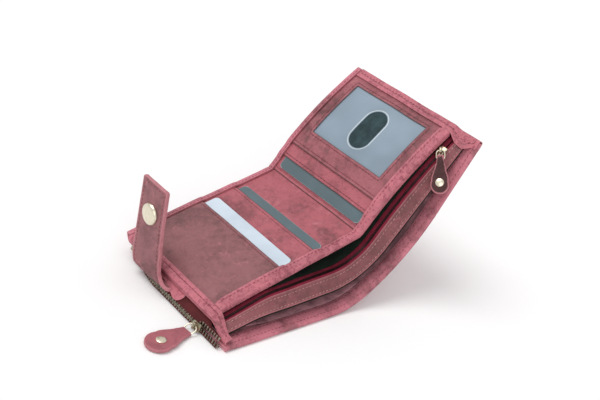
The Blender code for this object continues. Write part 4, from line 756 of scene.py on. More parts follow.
class Wire:
    """A value in a material's node tree; arithmetic on it adds the nodes that do the sum."""

    def __init__(self, tree, socket=None):
        self.tree = tree
        self.socket = socket

    def node(self, kind, settings=None, sockets=None, output=0):
        """Add a node: its settings first, then its sockets, which take numbers, colours or wires."""
        made = self.tree.nodes.new(kind)
        for key, value in (settings or {}).items():
            setattr(made, key, value)
        for key, value in (sockets or {}).items():
            if isinstance(value, Wire):
                self.tree.links.new(value.socket, made.inputs[key])
            else:
                made.inputs[key].default_value = value
        return Wire(self.tree, made.outputs[output])

    def math(self, operation, *others):
        sockets = dict(enumerate((self, *others)))
        return self.node("ShaderNodeMath", {"operation": operation}, sockets)

    def __add__(self, other):
        return self.math("ADD", other)

    __radd__ = __add__

    def __mul__(self, other):
        return self.math("MULTIPLY", other)

    __rmul__ = __mul__

    def __sub__(self, other):
        return self.math("SUBTRACT", other)

    def __rsub__(self, other):
        return self.math("MULTIPLY", -1.0) + other

    def between(self, low, high):
        """0 up to low, 1 from high on and smooth between them."""
        sockets = {"Value": self, "From Min": low, "From Max": high}
        return self.node("ShaderNodeMapRange", {"interpolation_type": "SMOOTHSTEP"}, sockets)

    def near(self, value, core, reach):
        """1 within core of a value and 0 beyond reach from it."""
        return 1.0 - (self - value).math("ABSOLUTE").between(core, reach)

    def blend(self, low, high):
        """A colour between two, with this value as the share."""
        return self.node("ShaderNodeMix", {"data_type": "RGBA"}, {0: self, 6: low, 7: high}, 2)

    def noise(self, scale, detail=4.0, roughness=0.5, distortion=0.0):
        sockets = {"Vector": self, "Scale": scale, "Detail": detail, "Roughness": roughness,
                   "Distortion": distortion}
        return self.node("ShaderNodeTexNoise", None, sockets)

    def cells(self, scale, smoothness):
        """Distance to the middle of the nearest cell: pebbled grain."""
        sockets = {"Vector": self, "Scale": scale, "Smoothness": smoothness}
        return self.node("ShaderNodeTexVoronoi", {"feature": "SMOOTH_F1"}, sockets)

    def across(self, index):
        """One component of a vector."""
        return self.node("ShaderNodeSeparateXYZ", None, {0: self}, index)


def new_look(name):
    """A material with one Principled shader: its tree as a wire, the object place and the shader."""
    made = bpy.data.materials.new(name)
    made.use_nodes = True
    root = Wire(made.node_tree)
    spot = root.node("ShaderNodeTexCoord", output=3)
    return made, root, spot, made.node_tree.nodes["Principled BSDF"]


def named(root, name):
    """A value that the mesh carries at each point."""
    return root.node("ShaderNodeAttribute", {"attribute_name": name}, output=2)


def finish_look(root, shader, colour, roughness, height, depth, specular=0.5):
    """Wire the colour, the roughness and the relief into the shader and set its reflections."""
    normal = root.node("ShaderNodeBump", None, {"Height": height, "Distance": depth})
    for key, value in (("Base Color", colour), ("Roughness", roughness), ("Normal", normal)):
        root.tree.links.new(value.socket, shader.inputs[key])
    shader.inputs["Specular IOR Level"].default_value = specular


def shaded(colour, share):
    """A colour scaled down, as four numbers for a socket."""
    return (*(part * share for part in colour), 1.0)


def leather(name, colour, channel=0.0, cloud=0.75, scuff=0.6, wear=0.6, wine=0.35, cut=0.0):
    """Waxed pull-up leather: dark clouds, wine flecks, scuffs, worn edges, grain, seam line, and a dark cut
    edge that is partly painted shade.

    channel is how far in from its edge the groove beside a seam runs, or 0 for none; the groove is darkened
    with painted shade.
    """
    made, root, spot, shader = new_look(name)
    tones = bpy.context.scene.wallet_colours
    base = shaded(colour, 1.0)
    dark = shaded(tones.wax_dark, 1.0)
    pale = shaded(tones.scuff_pale, 1.0)
    rim = named(root, "rim")
    mist = spot.noise(*MIST)
    fibre = spot.noise(*FIBRE)
    blotch = spot.noise(*BLOTCH)
    tint = (mist * 0.7 + fibre * 0.3).between(0.42, 0.66)
    tint = (tint * cloud).blend(base, dark)
    flecks = (blotch * 0.75 + mist * 0.25).between(0.49, 0.60) * wine
    tint = flecks.blend(tint, shaded(tones.wine, 1.0))
    rubbed = spot.noise(*RUBBED)
    marks = (rubbed * 0.75 + blotch * 0.25).between(0.53, 0.68) * scuff
    tint = marks.blend(tint, pale)
    specks = spot.noise(*SPECKS).between(0.56, 0.70)
    tint = (specks * 0.35).blend(tint, dark)
    worn = (1.0 - (rim + (fibre - 0.5) * WORN_UNEVENNESS).between(*WORN_EDGE)) * wear
    tint = (worn * (0.4 + fibre)).blend(tint, pale)
    # cut darkens the rim: a dark cut edge, and painted shade standing in for the shadow gap under a slot's
    # edge
    if cut:
        tint = ((1.0 - rim.between(*DARK_EDGE_AND_SHADE)) * cut).blend(tint, dark)
    grain = spot.cells(GRAIN_SCALE, GRAIN_SMOOTHNESS)
    creases = spot.noise(*CREASES).near(0.5, 0.005, 0.05)
    height = grain * 0.5 + fibre * 0.45 + blotch * 0.4 - creases * 0.4
    # the groove beside a seam: sunk in the relief and darkened with painted shade
    if channel:
        groove_shade = rim.near(channel, *PRESSED_LINE)
        tint = (groove_shade * (0.2 + fibre * 0.5)).blend(tint, dark)
        height = height - groove_shade * 0.8
    roughness = 0.46 + marks * 0.12 + mist * 0.20
    finish_look(root, shader, tint, roughness, height, LEATHER_RELIEF, 0.30)
    return made


def nap(spot, colour):
    """The uneven colour of leather's flesh side."""
    uneven = spot.noise(*NAP)
    return uneven.between(0.36, 0.66).blend(shaded(colour, 0.55), shaded(colour, 1.25))


def suede_and_leather(name, colour, flesh_colour):
    """The cover: leather where the hem is turned in, suede inside of it, by the mesh's tone."""
    made = leather(name, colour)
    root = Wire(made.node_tree)
    shader = made.node_tree.nodes["Principled BSDF"]
    spot = root.node("ShaderNodeTexCoord", output=3)
    smooth = Wire(made.node_tree, shader.inputs["Base Color"].links[0].from_socket)
    mixed = named(root, "tone").between(0.4, 0.6).blend(smooth, nap(spot, flesh_colour))
    made.node_tree.links.new(mixed.socket, shader.inputs["Base Color"])
    return made


def suede(name, colour):
    """The flesh side of leather: a short, uneven nap."""
    made, root, spot, shader = new_look(name)
    fine = spot.noise(*FINE_NAP)
    finish_look(root, shader, nap(spot, colour), 0.8 + fine * 0.15, fine, SUEDE_RELIEF, 0.15)
    return made


def cloth(name, colour, pitch, contrast=0.35):
    """Woven cloth: threads over and under each other, a little uneven."""
    made, root, spot, shader = new_look(name)
    flat = root.node("ShaderNodeUVMap")
    turn = math.tau / pitch
    warp = (flat.across(0) * turn).math("SINE")
    weft = (flat.across(1) * turn).math("SINE")
    weave = warp * weft
    uneven = spot.noise(*UNEVEN_CLOTH)
    share = (weave * 0.5 + 0.5) * contrast + uneven.between(0.3, 0.7) * (1.0 - contrast)
    tint = share.blend(shaded(colour, 0.55), shaded(colour, 1.35))
    height = weave * 0.5 + uneven * 0.5
    finish_look(root, shader, tint, 0.72 + uneven * 0.2, height, CLOTH_RELIEF, 0.2)
    return made


def metal(name, colour, rough, patina):
    """Plated metal with darker patina in patches and fine rubbed marks."""
    made, root, spot, shader = new_look(name)
    age = spot.noise(*PATINA)
    rubs = spot.noise(*METAL_RUBS)
    tint = (age.between(0.38, 0.66) * patina).blend(shaded(colour, 1.0), shaded(colour, 0.22))
    roughness = rough + age * 0.16 + rubs * 0.08
    finish_look(root, shader, tint, roughness, rubs * 0.5 + age * 0.5, METAL_RELIEF)
    shader.inputs["Metallic"].default_value = 1.0
    return made


def card_plastic(name, colour, core):
    """Laminated card: a faint sheen of unevenness and the white core at the cut edge."""
    made, root, spot, shader = new_look(name)
    rim = named(root, "rim")
    uneven = spot.noise(*CARD_SHEEN)
    fine = spot.noise(*CARD_GRAIN)
    tint = uneven.between(0.3, 0.7).blend(shaded(colour, 0.88), shaded(colour, 1.10))
    tint = (rim.near(0.0, 0.0, CARD_CORE) * 0.6).blend(tint, shaded(core, 1.0))
    finish_look(root, shader, tint, 0.34 + uneven * 0.12, fine * 0.4 + uneven * 0.6, CARD_RELIEF)
    return made


def film_plastic(name, colour):
    """Milky window film, glossy and slightly wavy; its pale slate tint is partly a painted sheen of the
    bright surroundings.
    """
    made, root, spot, shader = new_look(name)
    wave = spot.noise(*FILM_WAVE)
    haze = spot.noise(*FILM_HAZE)
    tint = wave.between(0.3, 0.7).blend(shaded(colour, 0.86), shaded(colour, 1.10))
    finish_look(root, shader, tint, 0.34 + haze * 0.16, wave * 0.8 + haze * 0.1, FILM_RELIEF, 0.3)
    return made


LOOKS = {}


def make_looks():
    """All the materials: the leathers, cloths, metals and plastics, and more for threads, tabs and finer
    leathers.
    """
    tones = bpy.context.scene.wallet_colours
    LOOKS.update({
        # cut=0.9 on the slot leathers darkens their edges: a dark cut edge and painted shade of the gap under
        # them
        "rose": leather("rose_leather", tones.rose, channel=SLOT_SEAM, cut=0.9),
        "window": leather("window_leather", tones.window, channel=SLOT_SEAM, cloud=0.9, scuff=0.45, wear=0.7,
                          wine=0.3, cut=0.9),
        "rose_plain": leather("rose_leather_plain", tones.rose),
        "dusk": leather("dusky_leather", tones.dusk, channel=SLOT_SEAM, cloud=0.72, scuff=0.55, wine=0.12,
                        cut=0.9),
        "binding": leather("binding_leather", tones.binding, cloud=0.35, scuff=0.5, wear=0.3, wine=0.6),
        "end_binding": leather("end_binding_leather", tones.binding, channel=BINDING_WIDTH / 2.0, cloud=0.35,
                               scuff=0.5, wear=0.3, wine=0.6),
        "strap": leather("strap_leather", tones.strap, cloud=0.7, wear=0.9, wine=0.15),
        "divider": leather("divider_leather", tones.divider, cloud=0.8, scuff=0.4, wear=0.4, wine=0.3),
        "cover": suede_and_leather("cover_leather", tones.cover, tones.suede),
        "lining": cloth("green_black_lining", tones.lining, pitch=0.0007),
        "suede": suede("suede_lining", tones.suede),
        "crimson": cloth("crimson_tape", tones.crimson, pitch=0.0006, contrast=0.6),
        "dark_metal": metal("dark_teeth", tones.dark_teeth, rough=0.30, patina=0.5),
        "coin_teeth": metal("coin_teeth_brass", tones.coin_teeth, rough=0.18, patina=0.8),
        "coin_tape": cloth("coin_tape_cloth", tones.coin_tape, pitch=0.0006, contrast=0.6),
        "brass": metal("antique_brass", tones.brass, rough=0.20, patina=0.7),
        "pale_gold": metal("pale_gold", tones.pale_gold, rough=0.20, patina=0.12),
        "pale": card_plastic("pale_card", tones.pale_card, tones.card_core),
        "gray": card_plastic("gray_card", tones.gray_card, tones.card_core),
        "film": film_plastic("window_film", tones.film),
        "slate": cloth("window_backing", tones.slate, pitch=0.0005),
        # the slot rim's pale film colour is a painted highlight
        "film_rim": film_plastic("thumb_slot_rim", tones.film_rim),
        "coin_tab": leather("coin_tab_leather", tones.coin_tab, cloud=0.3, scuff=0.30, wear=0.5, wine=0.2),
        "bill_tab": leather("bill_tab_leather", tones.bill_tab, cloud=0.3, scuff=0.04, wear=0.9, wine=0.1),
        # the dark thread colour is partly painted shade of the stitch holes
        "thread": cloth("rose_thread", tones.thread, pitch=0.0004),
        "thread_pale": cloth("pale_thread", tones.thread_pale, pitch=0.0004),
    })


def deselect():
    bpy.ops.object.select_all(action="DESELECT")


def free_name(name):
    """The name itself, with an ending where a CAD node already has it."""
    return f"{name}_finished" if name in frame["nodes"] else name


def rename(thing, name):
    """Name an object and its mesh."""
    thing.name = free_name(name)
    thing.data.name = thing.name


def adopt(name, look):
    """Name the new primitive and give it its material."""
    thing = bpy.context.object
    rename(thing, name)
    thing.data.materials.clear()
    thing.data.materials.append(LOOKS[look])
    return thing


def soften(thing, width, angle=40.0, segments=2):
    """Round the hard edges a little and shade the rest smooth."""
    if width > 0.0:
        step = thing.modifiers.new("Soft edges", "BEVEL")
        step.width = width
        step.segments = segments
        step.limit_method = "ANGLE"
        step.angle_limit = math.radians(angle)
        bpy.ops.object.modifier_apply(modifier=step.name)
    bpy.ops.object.shade_smooth_by_angle(angle=math.radians(angle))


def run_lengths(points):
    """Distances walked at each point of a line."""
    lengths = [0.0]
    for a, b in zip(points, points[1:]):
        lengths.append(lengths[-1] + (b - a).length)
    return lengths


def mark(mesh, name, values):
    """Give each point of a mesh a value that the looks read."""
    mesh.attributes.new(name, "FLOAT", "POINT").data.foreach_set("value", values)


def edge_tree(edges, offset):
    """A search tree of places along edges, each edge given by its two ends."""
    tree = KDTree(len(edges) * RIM_SAMPLES)
    for index, (a, b) in enumerate(edges):
        for step in range(RIM_SAMPLES):
            tree.insert(a.lerp(b, (step + offset) / RIM_SAMPLES), index * RIM_SAMPLES + step)
    tree.balance()
    return tree


def mark_rims(mesh):
    """Give each point its distance from the nearest free edge, for worn edges and seam lines."""
    shape = bmesh.new()
    shape.from_mesh(mesh)
    tree = edge_tree([[vertex.co for vertex in edge.verts] for edge in shape.edges if edge.is_boundary], 0.5)
    mark(mesh, "rim", [0.0 if vertex.is_boundary else tree.find(vertex.co)[2] for vertex in shape.verts])
    shape.free()


def grid(name, look, place, us, vs):
    """A grid laid out by place(u, v), the us along its rows."""
    deselect()
    bpy.ops.mesh.primitive_grid_add(x_subdivisions=len(us) - 1, y_subdivisions=len(vs) - 1, size=2)
    thing = adopt(name, look)
    columns = len(us)
    for index, vertex in enumerate(thing.data.vertices):
        vertex.co = place(us[index % columns], vs[index // columns])
    return thing


def laid(name, look, place, us, vs, thickness, hole=None, tone=None, bevel_share=0.3, sink=True, weld=False,
         even=True):
    """A sheet: a grid laid out by place(u, v), with its flat measures as UVs, then thickened.

    hole(u, v) says which faces to leave out, tone(v) is marked on the points, sink lets the sheet lie in
    the slow waves and weld joins a grid whose ends meet.
    """
    def settled(u, v):
        return settle(place(u, v))

    thing = grid(name, look, settled if sink else place, us, vs)
    mesh = thing.data
    columns = len(us)
    middle = len(vs) // 2 * columns
    row = run_lengths([mesh.vertices[middle + i].co for i in range(columns)])
    centre = columns // 2
    column = run_lengths([mesh.vertices[j * columns + centre].co for j in range(len(vs))])
    for loop in mesh.loops:
        index = loop.vertex_index
        mesh.uv_layers[0].data[loop.index].uv = (row[index % columns], column[index // columns])
    if tone:
        mark(mesh, "tone", [tone(vs[i // columns]) for i in range(len(mesh.vertices))])
    if hole or weld:
        shape = bmesh.new()
        shape.from_mesh(mesh)
        gone = []
        for face in shape.faces if hole else ():
            corners = [vertex.index for vertex in face.verts]
            u = sum(us[i % columns] for i in corners) / len(corners)
            v = sum(vs[i // columns] for i in corners) / len(corners)
            if hole(u, v):
                gone.append(face)
        bmesh.ops.delete(shape, geom=gone, context="FACES")
        if weld:
            bmesh.ops.remove_doubles(shape, verts=shape.verts, dist=WELD)
        shape.to_mesh(mesh)
        shape.free()
    mark_rims(mesh)
    thing["flat"] = (row[-1], column[-1], sum(face.area for face in mesh.polygons))
    solid = thing.modifiers.new("Thickness", "SOLIDIFY")
    solid.thickness = thickness
    solid.offset = 0.0
    solid.use_even_offset = even
    bpy.ops.object.modifier_apply(modifier=solid.name)
    soften(thing, thickness * bevel_share)
    return thing


def wrapped(name, look, place, us, vs):
    """A closed skin: a grid whose ends meet, welded where they do."""
    thing = grid(name, look, place, us, vs)
    bpy.ops.object.mode_set(mode="EDIT")
    bpy.ops.mesh.select_all(action="SELECT")
    bpy.ops.mesh.remove_doubles(threshold=WELD)
    bpy.ops.mesh.normals_make_consistent(inside=False)
    bpy.ops.object.mode_set(mode="OBJECT")
    soften(thing, 0.0)
    return thing


def turned(name, look, profile, frame, steps=32):
    """A round piece: a half outline from top to bottom, turned about the frame's Z axis."""
    def place(u, v):
        radius, height = profile[v]
        return frame @ Vector((radius * math.cos(u), radius * math.sin(u), height))

    return wrapped(name, look, place, stations(0.0, math.tau, steps), range(len(profile)))


def tube(name, look, line, radius, outward, steps=12):
    """A round wire along a closed flat line; outward is the flat's normal."""
    count = len(line)

    def place(u, v):
        here = line[v % count]
        along = (line[(v + 1) % count] - line[v - 1]).normalized()
        side = along.cross(outward)
        return here + side * radius * math.cos(u) + outward * radius * math.sin(u)

    return wrapped(name, look, place, stations(0.0, math.tau, steps), range(count + 1))


def slab(name, look, outline, thickness, frame, bevel, segments=2):
    """A plate: a ring of points on its outline, filled, pulled out and softened."""
    deselect()
    bpy.ops.mesh.primitive_circle_add(vertices=len(outline), radius=1, fill_type="NGON")
    thing = adopt(name, look)
    for vertex, (x, y) in zip(thing.data.vertices, outline):
        vertex.co = (x, y, -thickness / 2.0)
    bpy.ops.object.mode_set(mode="EDIT")
    bpy.ops.mesh.select_all(action="SELECT")
    bpy.ops.mesh.extrude_region_move(TRANSFORM_OT_translate={"value": (0.0, 0.0, thickness)})
    bpy.ops.mesh.select_all(action="SELECT")
    bpy.ops.mesh.normals_make_consistent(inside=False)
    bpy.ops.object.mode_set(mode="OBJECT")
    soften(thing, bevel, 40.0, segments)
    thing.data.transform(frame)
    return thing


def joined(name, things):
    """Several shells of one piece in one mesh."""
    deselect()
    for thing in things:
        thing.select_set(True)
    bpy.context.view_layer.objects.active = things[0]
    bpy.ops.object.join()
    rename(things[0], name)
    return things[0]


def copies(name, look, pattern, frames):
    """Copies of one modelled shape, each in its own frame, in one mesh; the pattern is removed."""
    corners = [vertex.co.copy() for vertex in pattern.data.vertices]
    faces = [tuple(face.vertices) for face in pattern.data.polygons]
    points = []
    made = []
    for frame in frames:
        first = len(points)
        points += [frame @ corner for corner in corners]
        made += [tuple(first + index for index in face) for face in faces]
    mesh = bpy.data.meshes.new(free_name(name))
    mesh.from_pydata(points, [], made)
    mesh.uv_layers.new(name="UVMap")
    thing = bpy.data.objects.new(free_name(name), mesh)
    bpy.context.collection.objects.link(thing)
    mesh.materials.append(LOOKS[look])
    bpy.data.objects.remove(pattern)
    deselect()
    thing.select_set(True)
    bpy.context.view_layer.objects.active = thing
    soften(thing, 0.0, 50.0)
    return thing


def ride(thing, body, nodes, slot):
    """The piece moves with one body and stands for these CAD nodes."""
    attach(thing, body)
    if nodes:
        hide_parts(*nodes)
    return thing


def bend(thing, ends, nodes):
    """The piece keeps its place, baked into its mesh, and stands for these CAD nodes."""
    tuple(ends[0])
    tuple(ends[1])
    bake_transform(thing)
    if nodes:
        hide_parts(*nodes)
    return thing


SIDES = ("left", "fold", "right")


def fold_ends(surface, y=0.0):
    """Where a layer starts and stops bending at the fold."""
    return surface(1.0, y), surface(2.0, y)


def over_fold(thing, ends, name):
    """The piece stands for the left, fold and right nodes of this name."""
    return bend(thing, ends, [f"{name}_{side}" for side in SIDES])


def rounded(points, times=2):
    """Cut the corners off a line again and again; its ends stay."""
    for _ in range(times):
        cut = [points[0]]
        for a, b in zip(points, points[1:]):
            cut += [a.lerp(b, 0.25), a.lerp(b, 0.75)]
        points = cut + [points[-1]]
    return points


def settle(point):
    """The slow waves that soft leather keeps; layers that lie on each other share them."""
    sizes = bpy.context.scene.wallet_sizes
    spot = Vector((point.x, point.y, 0.0)) / sizes.wave_length
    return point + UP * sizes.wave_height * noise.noise(spot)


def spaced(line, pitch):
    """Shares of a line's steps at evenly spaced places on it."""
    lengths = run_lengths(line)
    count = max(int(lengths[-1] / pitch), 1)
    margin = (lengths[-1] - (count - 1) * pitch) / 2.0
    spots = []
    index = 0
    for i in range(count):
        target = margin + i * pitch
        while index < len(lengths) - 2 and lengths[index + 1] < target:
            index += 1
        spots.append(index + (target - lengths[index]) / (lengths[index + 1] - lengths[index]))
    return spots


def seam(name, place, path, half, look="thread", facing=UP):
    """Stitches along a path of (u, v) on a sheet, standing on the face that looks to facing."""
    sizes = bpy.context.scene.wallet_sizes
    deselect()
    bpy.ops.mesh.primitive_uv_sphere_add(segments=8, ring_count=6, radius=0.5)
    pattern = bpy.context.object
    pattern.data.transform(Matrix.Diagonal((sizes.stitch_length, sizes.stitch_width,
                                            sizes.stitch_width, 1.0)))
    line = [place(u, v) for u, v in path]
    frames = []
    for spot in spaced(line, sizes.stitch_pitch):
        index = min(int(spot), len(path) - 2)
        share = spot - index
        u = mix(path[index][0], path[index + 1][0], share)
        v = mix(path[index][1], path[index + 1][1], share)
        slope_u = place(u + SMALL, v) - place(u - SMALL, v)
        slope_v = place(u, v + SMALL) - place(u, v - SMALL)
        normal = slope_u.cross(slope_v).normalized()
        if normal.dot(facing) < 0.0:
            normal = -normal
        along = line[index + 1] - line[index]
        point = settle(place(u, v)) + normal * (half + sizes.stitch_width * STITCH_RISE)
        tilt = Matrix.Rotation(sizes.stitch_tilt, 4, "Z")
        frames.append(frame_of(point, along, normal) @ tilt)
    return copies(name, look, pattern, frames)


def line_uv(start, end, count=160):
    """A straight path of (u, v) pairs."""
    return [(mix(start[0], end[0], i / count), mix(start[1], end[1], i / count))
            for i in range(count + 1)]


def slot_seam(name, place, s, half, body, slot):
    """Stitches across the panel, along a slot's edge."""
    path = line_uv((s, SEWN_LOW_Y), (s, SEWN_HIGH_Y))
    ride(seam(name, place, path, half), body, (), slot)


def fold_seam(name, place, y, shares, half, look="thread", surface=None):
    """Stitches along both halves and the fold between them."""
    row = seam(name, place, line_uv((shares[0], y), (shares[1], y), LONG_SEAM_STEPS), half, look)
    bend(row, fold_ends(surface or place, y), ())


LEFT_S = stations(0.0, 1.0, 52)
FOLD_S = stations(1.0, 2.0, 14)
RIGHT_S = stations(2.0, 3.0, 44)
ALL_S = LEFT_S + FOLD_S[1:] + RIGHT_S[1:]


def quarter(radius, steps):
    """How far in a rounded corner's points lie, from its flank to its whole radius."""
    return [radius * (1.0 - math.cos(turn)) for turn in stations(0.0, math.pi / 2.0, steps)]


def dense(start, end, step=SHEET_STEP):
    """Evenly spaced values about a step apart."""
    return stations(start, end, max(round(abs(end - start) / step), 1))


def spans(stops, steps):
    """The same along several runs that meet at the stops, each with its own step."""
    spots = [stops[0]]
    for start, end, step in zip(stops, stops[1:], steps):
        spots += dense(start, end, step)[1:]
    return spots


HEM_RADIUS = HEM_STEP / 2.0
OUTER_Y = COVER_EDGE_Y + HEM_RADIUS
FAR_Y = CLOSED_EDGE_Y + CLEARANCE + COVER_LEATHER / 2.0


def top_rise(s):
    return COVER_DEPTH + panel_top(s) + CLEARANCE + COVER_LEATHER / 2.0


def hem_place(s, y):
    return cover_surface(s, y, HEM_STEP)


def turned_edge_place(s, y):
    return with_y(cover_surface(s, CLOSED_EDGE_Y, top_rise(s)), y)


def make_cover():
    """One leather: its hem turned in at the openings and turned over the closed edge."""
    paths = {}

    def edge_path(s):
        """The turned edge's middle line, as y and height, from under the closed edge to over it."""
        if s not in paths:
            height = top_rise(s)
            corners = [(FAR_Y - EDGE_TURN_RUN, 0.0), (FAR_Y, 0.0), (FAR_Y, height),
                       (FAR_Y - EDGE_TURN_RUN / 2.0, height), (CLOSED_EDGE_Y - TURNED_EDGE_WIDTH, height)]
            paths[s] = rounded([Vector((y, h, 0.0)) for y, h in corners], 3)
        return paths[s]

    def place(s, v):
        kind, value = v
        if kind == "hem":
            return hem_place(s, value)
        if kind == "turn":
            angle = math.pi * value
            y = OUTER_Y - HEM_RADIUS * math.sin(angle)
            return cover_surface(s, y, HEM_RADIUS * (1.0 + math.cos(angle)))
        if kind == "body":
            return cover_surface(s, value)
        y, height, _none = edge_path(s)[value]
        return with_y(cover_surface(s, CLOSED_EDGE_Y, height), y)

    vs = [("hem", y) for y in dense(OUTER_Y + HEM_WIDTH, OUTER_Y, FINE_STEP)]
    vs += [("turn", i / HEM_TURN_STEPS) for i in range(1, HEM_TURN_STEPS)]
    vs += [("body", y) for y in dense(OUTER_Y, FAR_Y - EDGE_PATH_RUN)]
    vs += [("edge", i) for i in range(len(edge_path(0.0)))]
    cover = laid("cover", "cover", place, ALL_S, vs, COVER_LEATHER,
                 tone=lambda v: 1.0 if v[0] == "body" else 0.0)
    over_fold(cover, fold_ends(cover_surface), "cover")
    half = COVER_LEATHER / 2.0
    for label, y in (("outer", OUTER_Y + HEM_SEAM_OUTER), ("inner", OUTER_Y + HEM_WIDTH - HEM_SEAM_INNER)):
        fold_seam(f"hem_stitches_{label}", hem_place, y, HEM_SEAM_SHARES, half)
    y = CLOSED_EDGE_Y - TURNED_EDGE_WIDTH + CLOSED_EDGE_SEAM
    fold_seam("closed_edge_stitches", turned_edge_place, y, CLOSED_SEAM_SHARES, half)


def make_panel():
    """The card panel's base leather, its pockets and the window panel."""
    def base(s, y):
        return with_y(stack(s, BASE_DEPTH), y)

    def pocket(name, look, place, spots, body, slot="rose"):
        """A pocket leather as high as the panel."""
        ride(laid(name, look, place, spots, ys, POCKET_LEATHER), body, (name,), slot)

    ys = dense(OPEN_EDGE_Y, CLOSED_EDGE_Y)
    over_fold(laid("panel", "rose_plain", base, ALL_S, ys, BASE_LEATHER), fold_ends(base), "panel")
    half = POCKET_LEATHER / 2.0
    strip_place = pocket_place(1, 1)
    spots = dense(share_at(LEFT_STRIP_START), share_at(LEFT_STRIP_EDGE), POCKET_SHARE_STEP)
    pocket("card_strip_left", "rose", strip_place, spots, "wallet")
    slot_seam("card_strip_stitches", strip_place, share_at(LEFT_STRIP_EDGE - SLOT_SEAM),
              half * STRIP_SEAM_DEPTH_SHARE, "wallet", "rose")
    big_place = pocket_place(2, 2, share_at(BINDING_WIDTH))
    spots = dense(0.0, share_at(BIG_POCKET_EDGE), POCKET_SHARE_STEP)
    pocket("big_pocket", "dusk", big_place, spots, "wallet", "dusk")
    slot_seam("big_pocket_stitches", big_place, share_at(BIG_POCKET_EDGE - SLOT_SEAM), half, "wallet", "dusk")

    fold_lead = RIGHT_STRIP_LOWER_LEAD / (FOLD_LENGTH + RIGHT_STRIP_LOWER_LEAD)
    lower_place = pocket_place(1, 0)
    spots = stations(2.0 - fold_lead, 2.0, 8) + RIGHT_S[1:]
    lower = laid("card_strip_lower", "rose", lower_place, spots, ys, POCKET_LEATHER)
    bend(lower, fold_ends(lower_place), ("card_strip_fold", "card_strip_lower"))
    upper_place = pocket_place(2, 1)
    first = slot_shares()[2]
    pocket("card_strip_upper", "rose", upper_place, dense(first, 3.0, UPPER_STRIP_SHARE_STEP), "right_half")
    seam_s = first + SLOT_SEAM / PANEL_RIGHT_LENGTH
    slot_seam("card_strip_upper_stitches", upper_place, seam_s, half, "right_half", "rose")
    make_window(half)


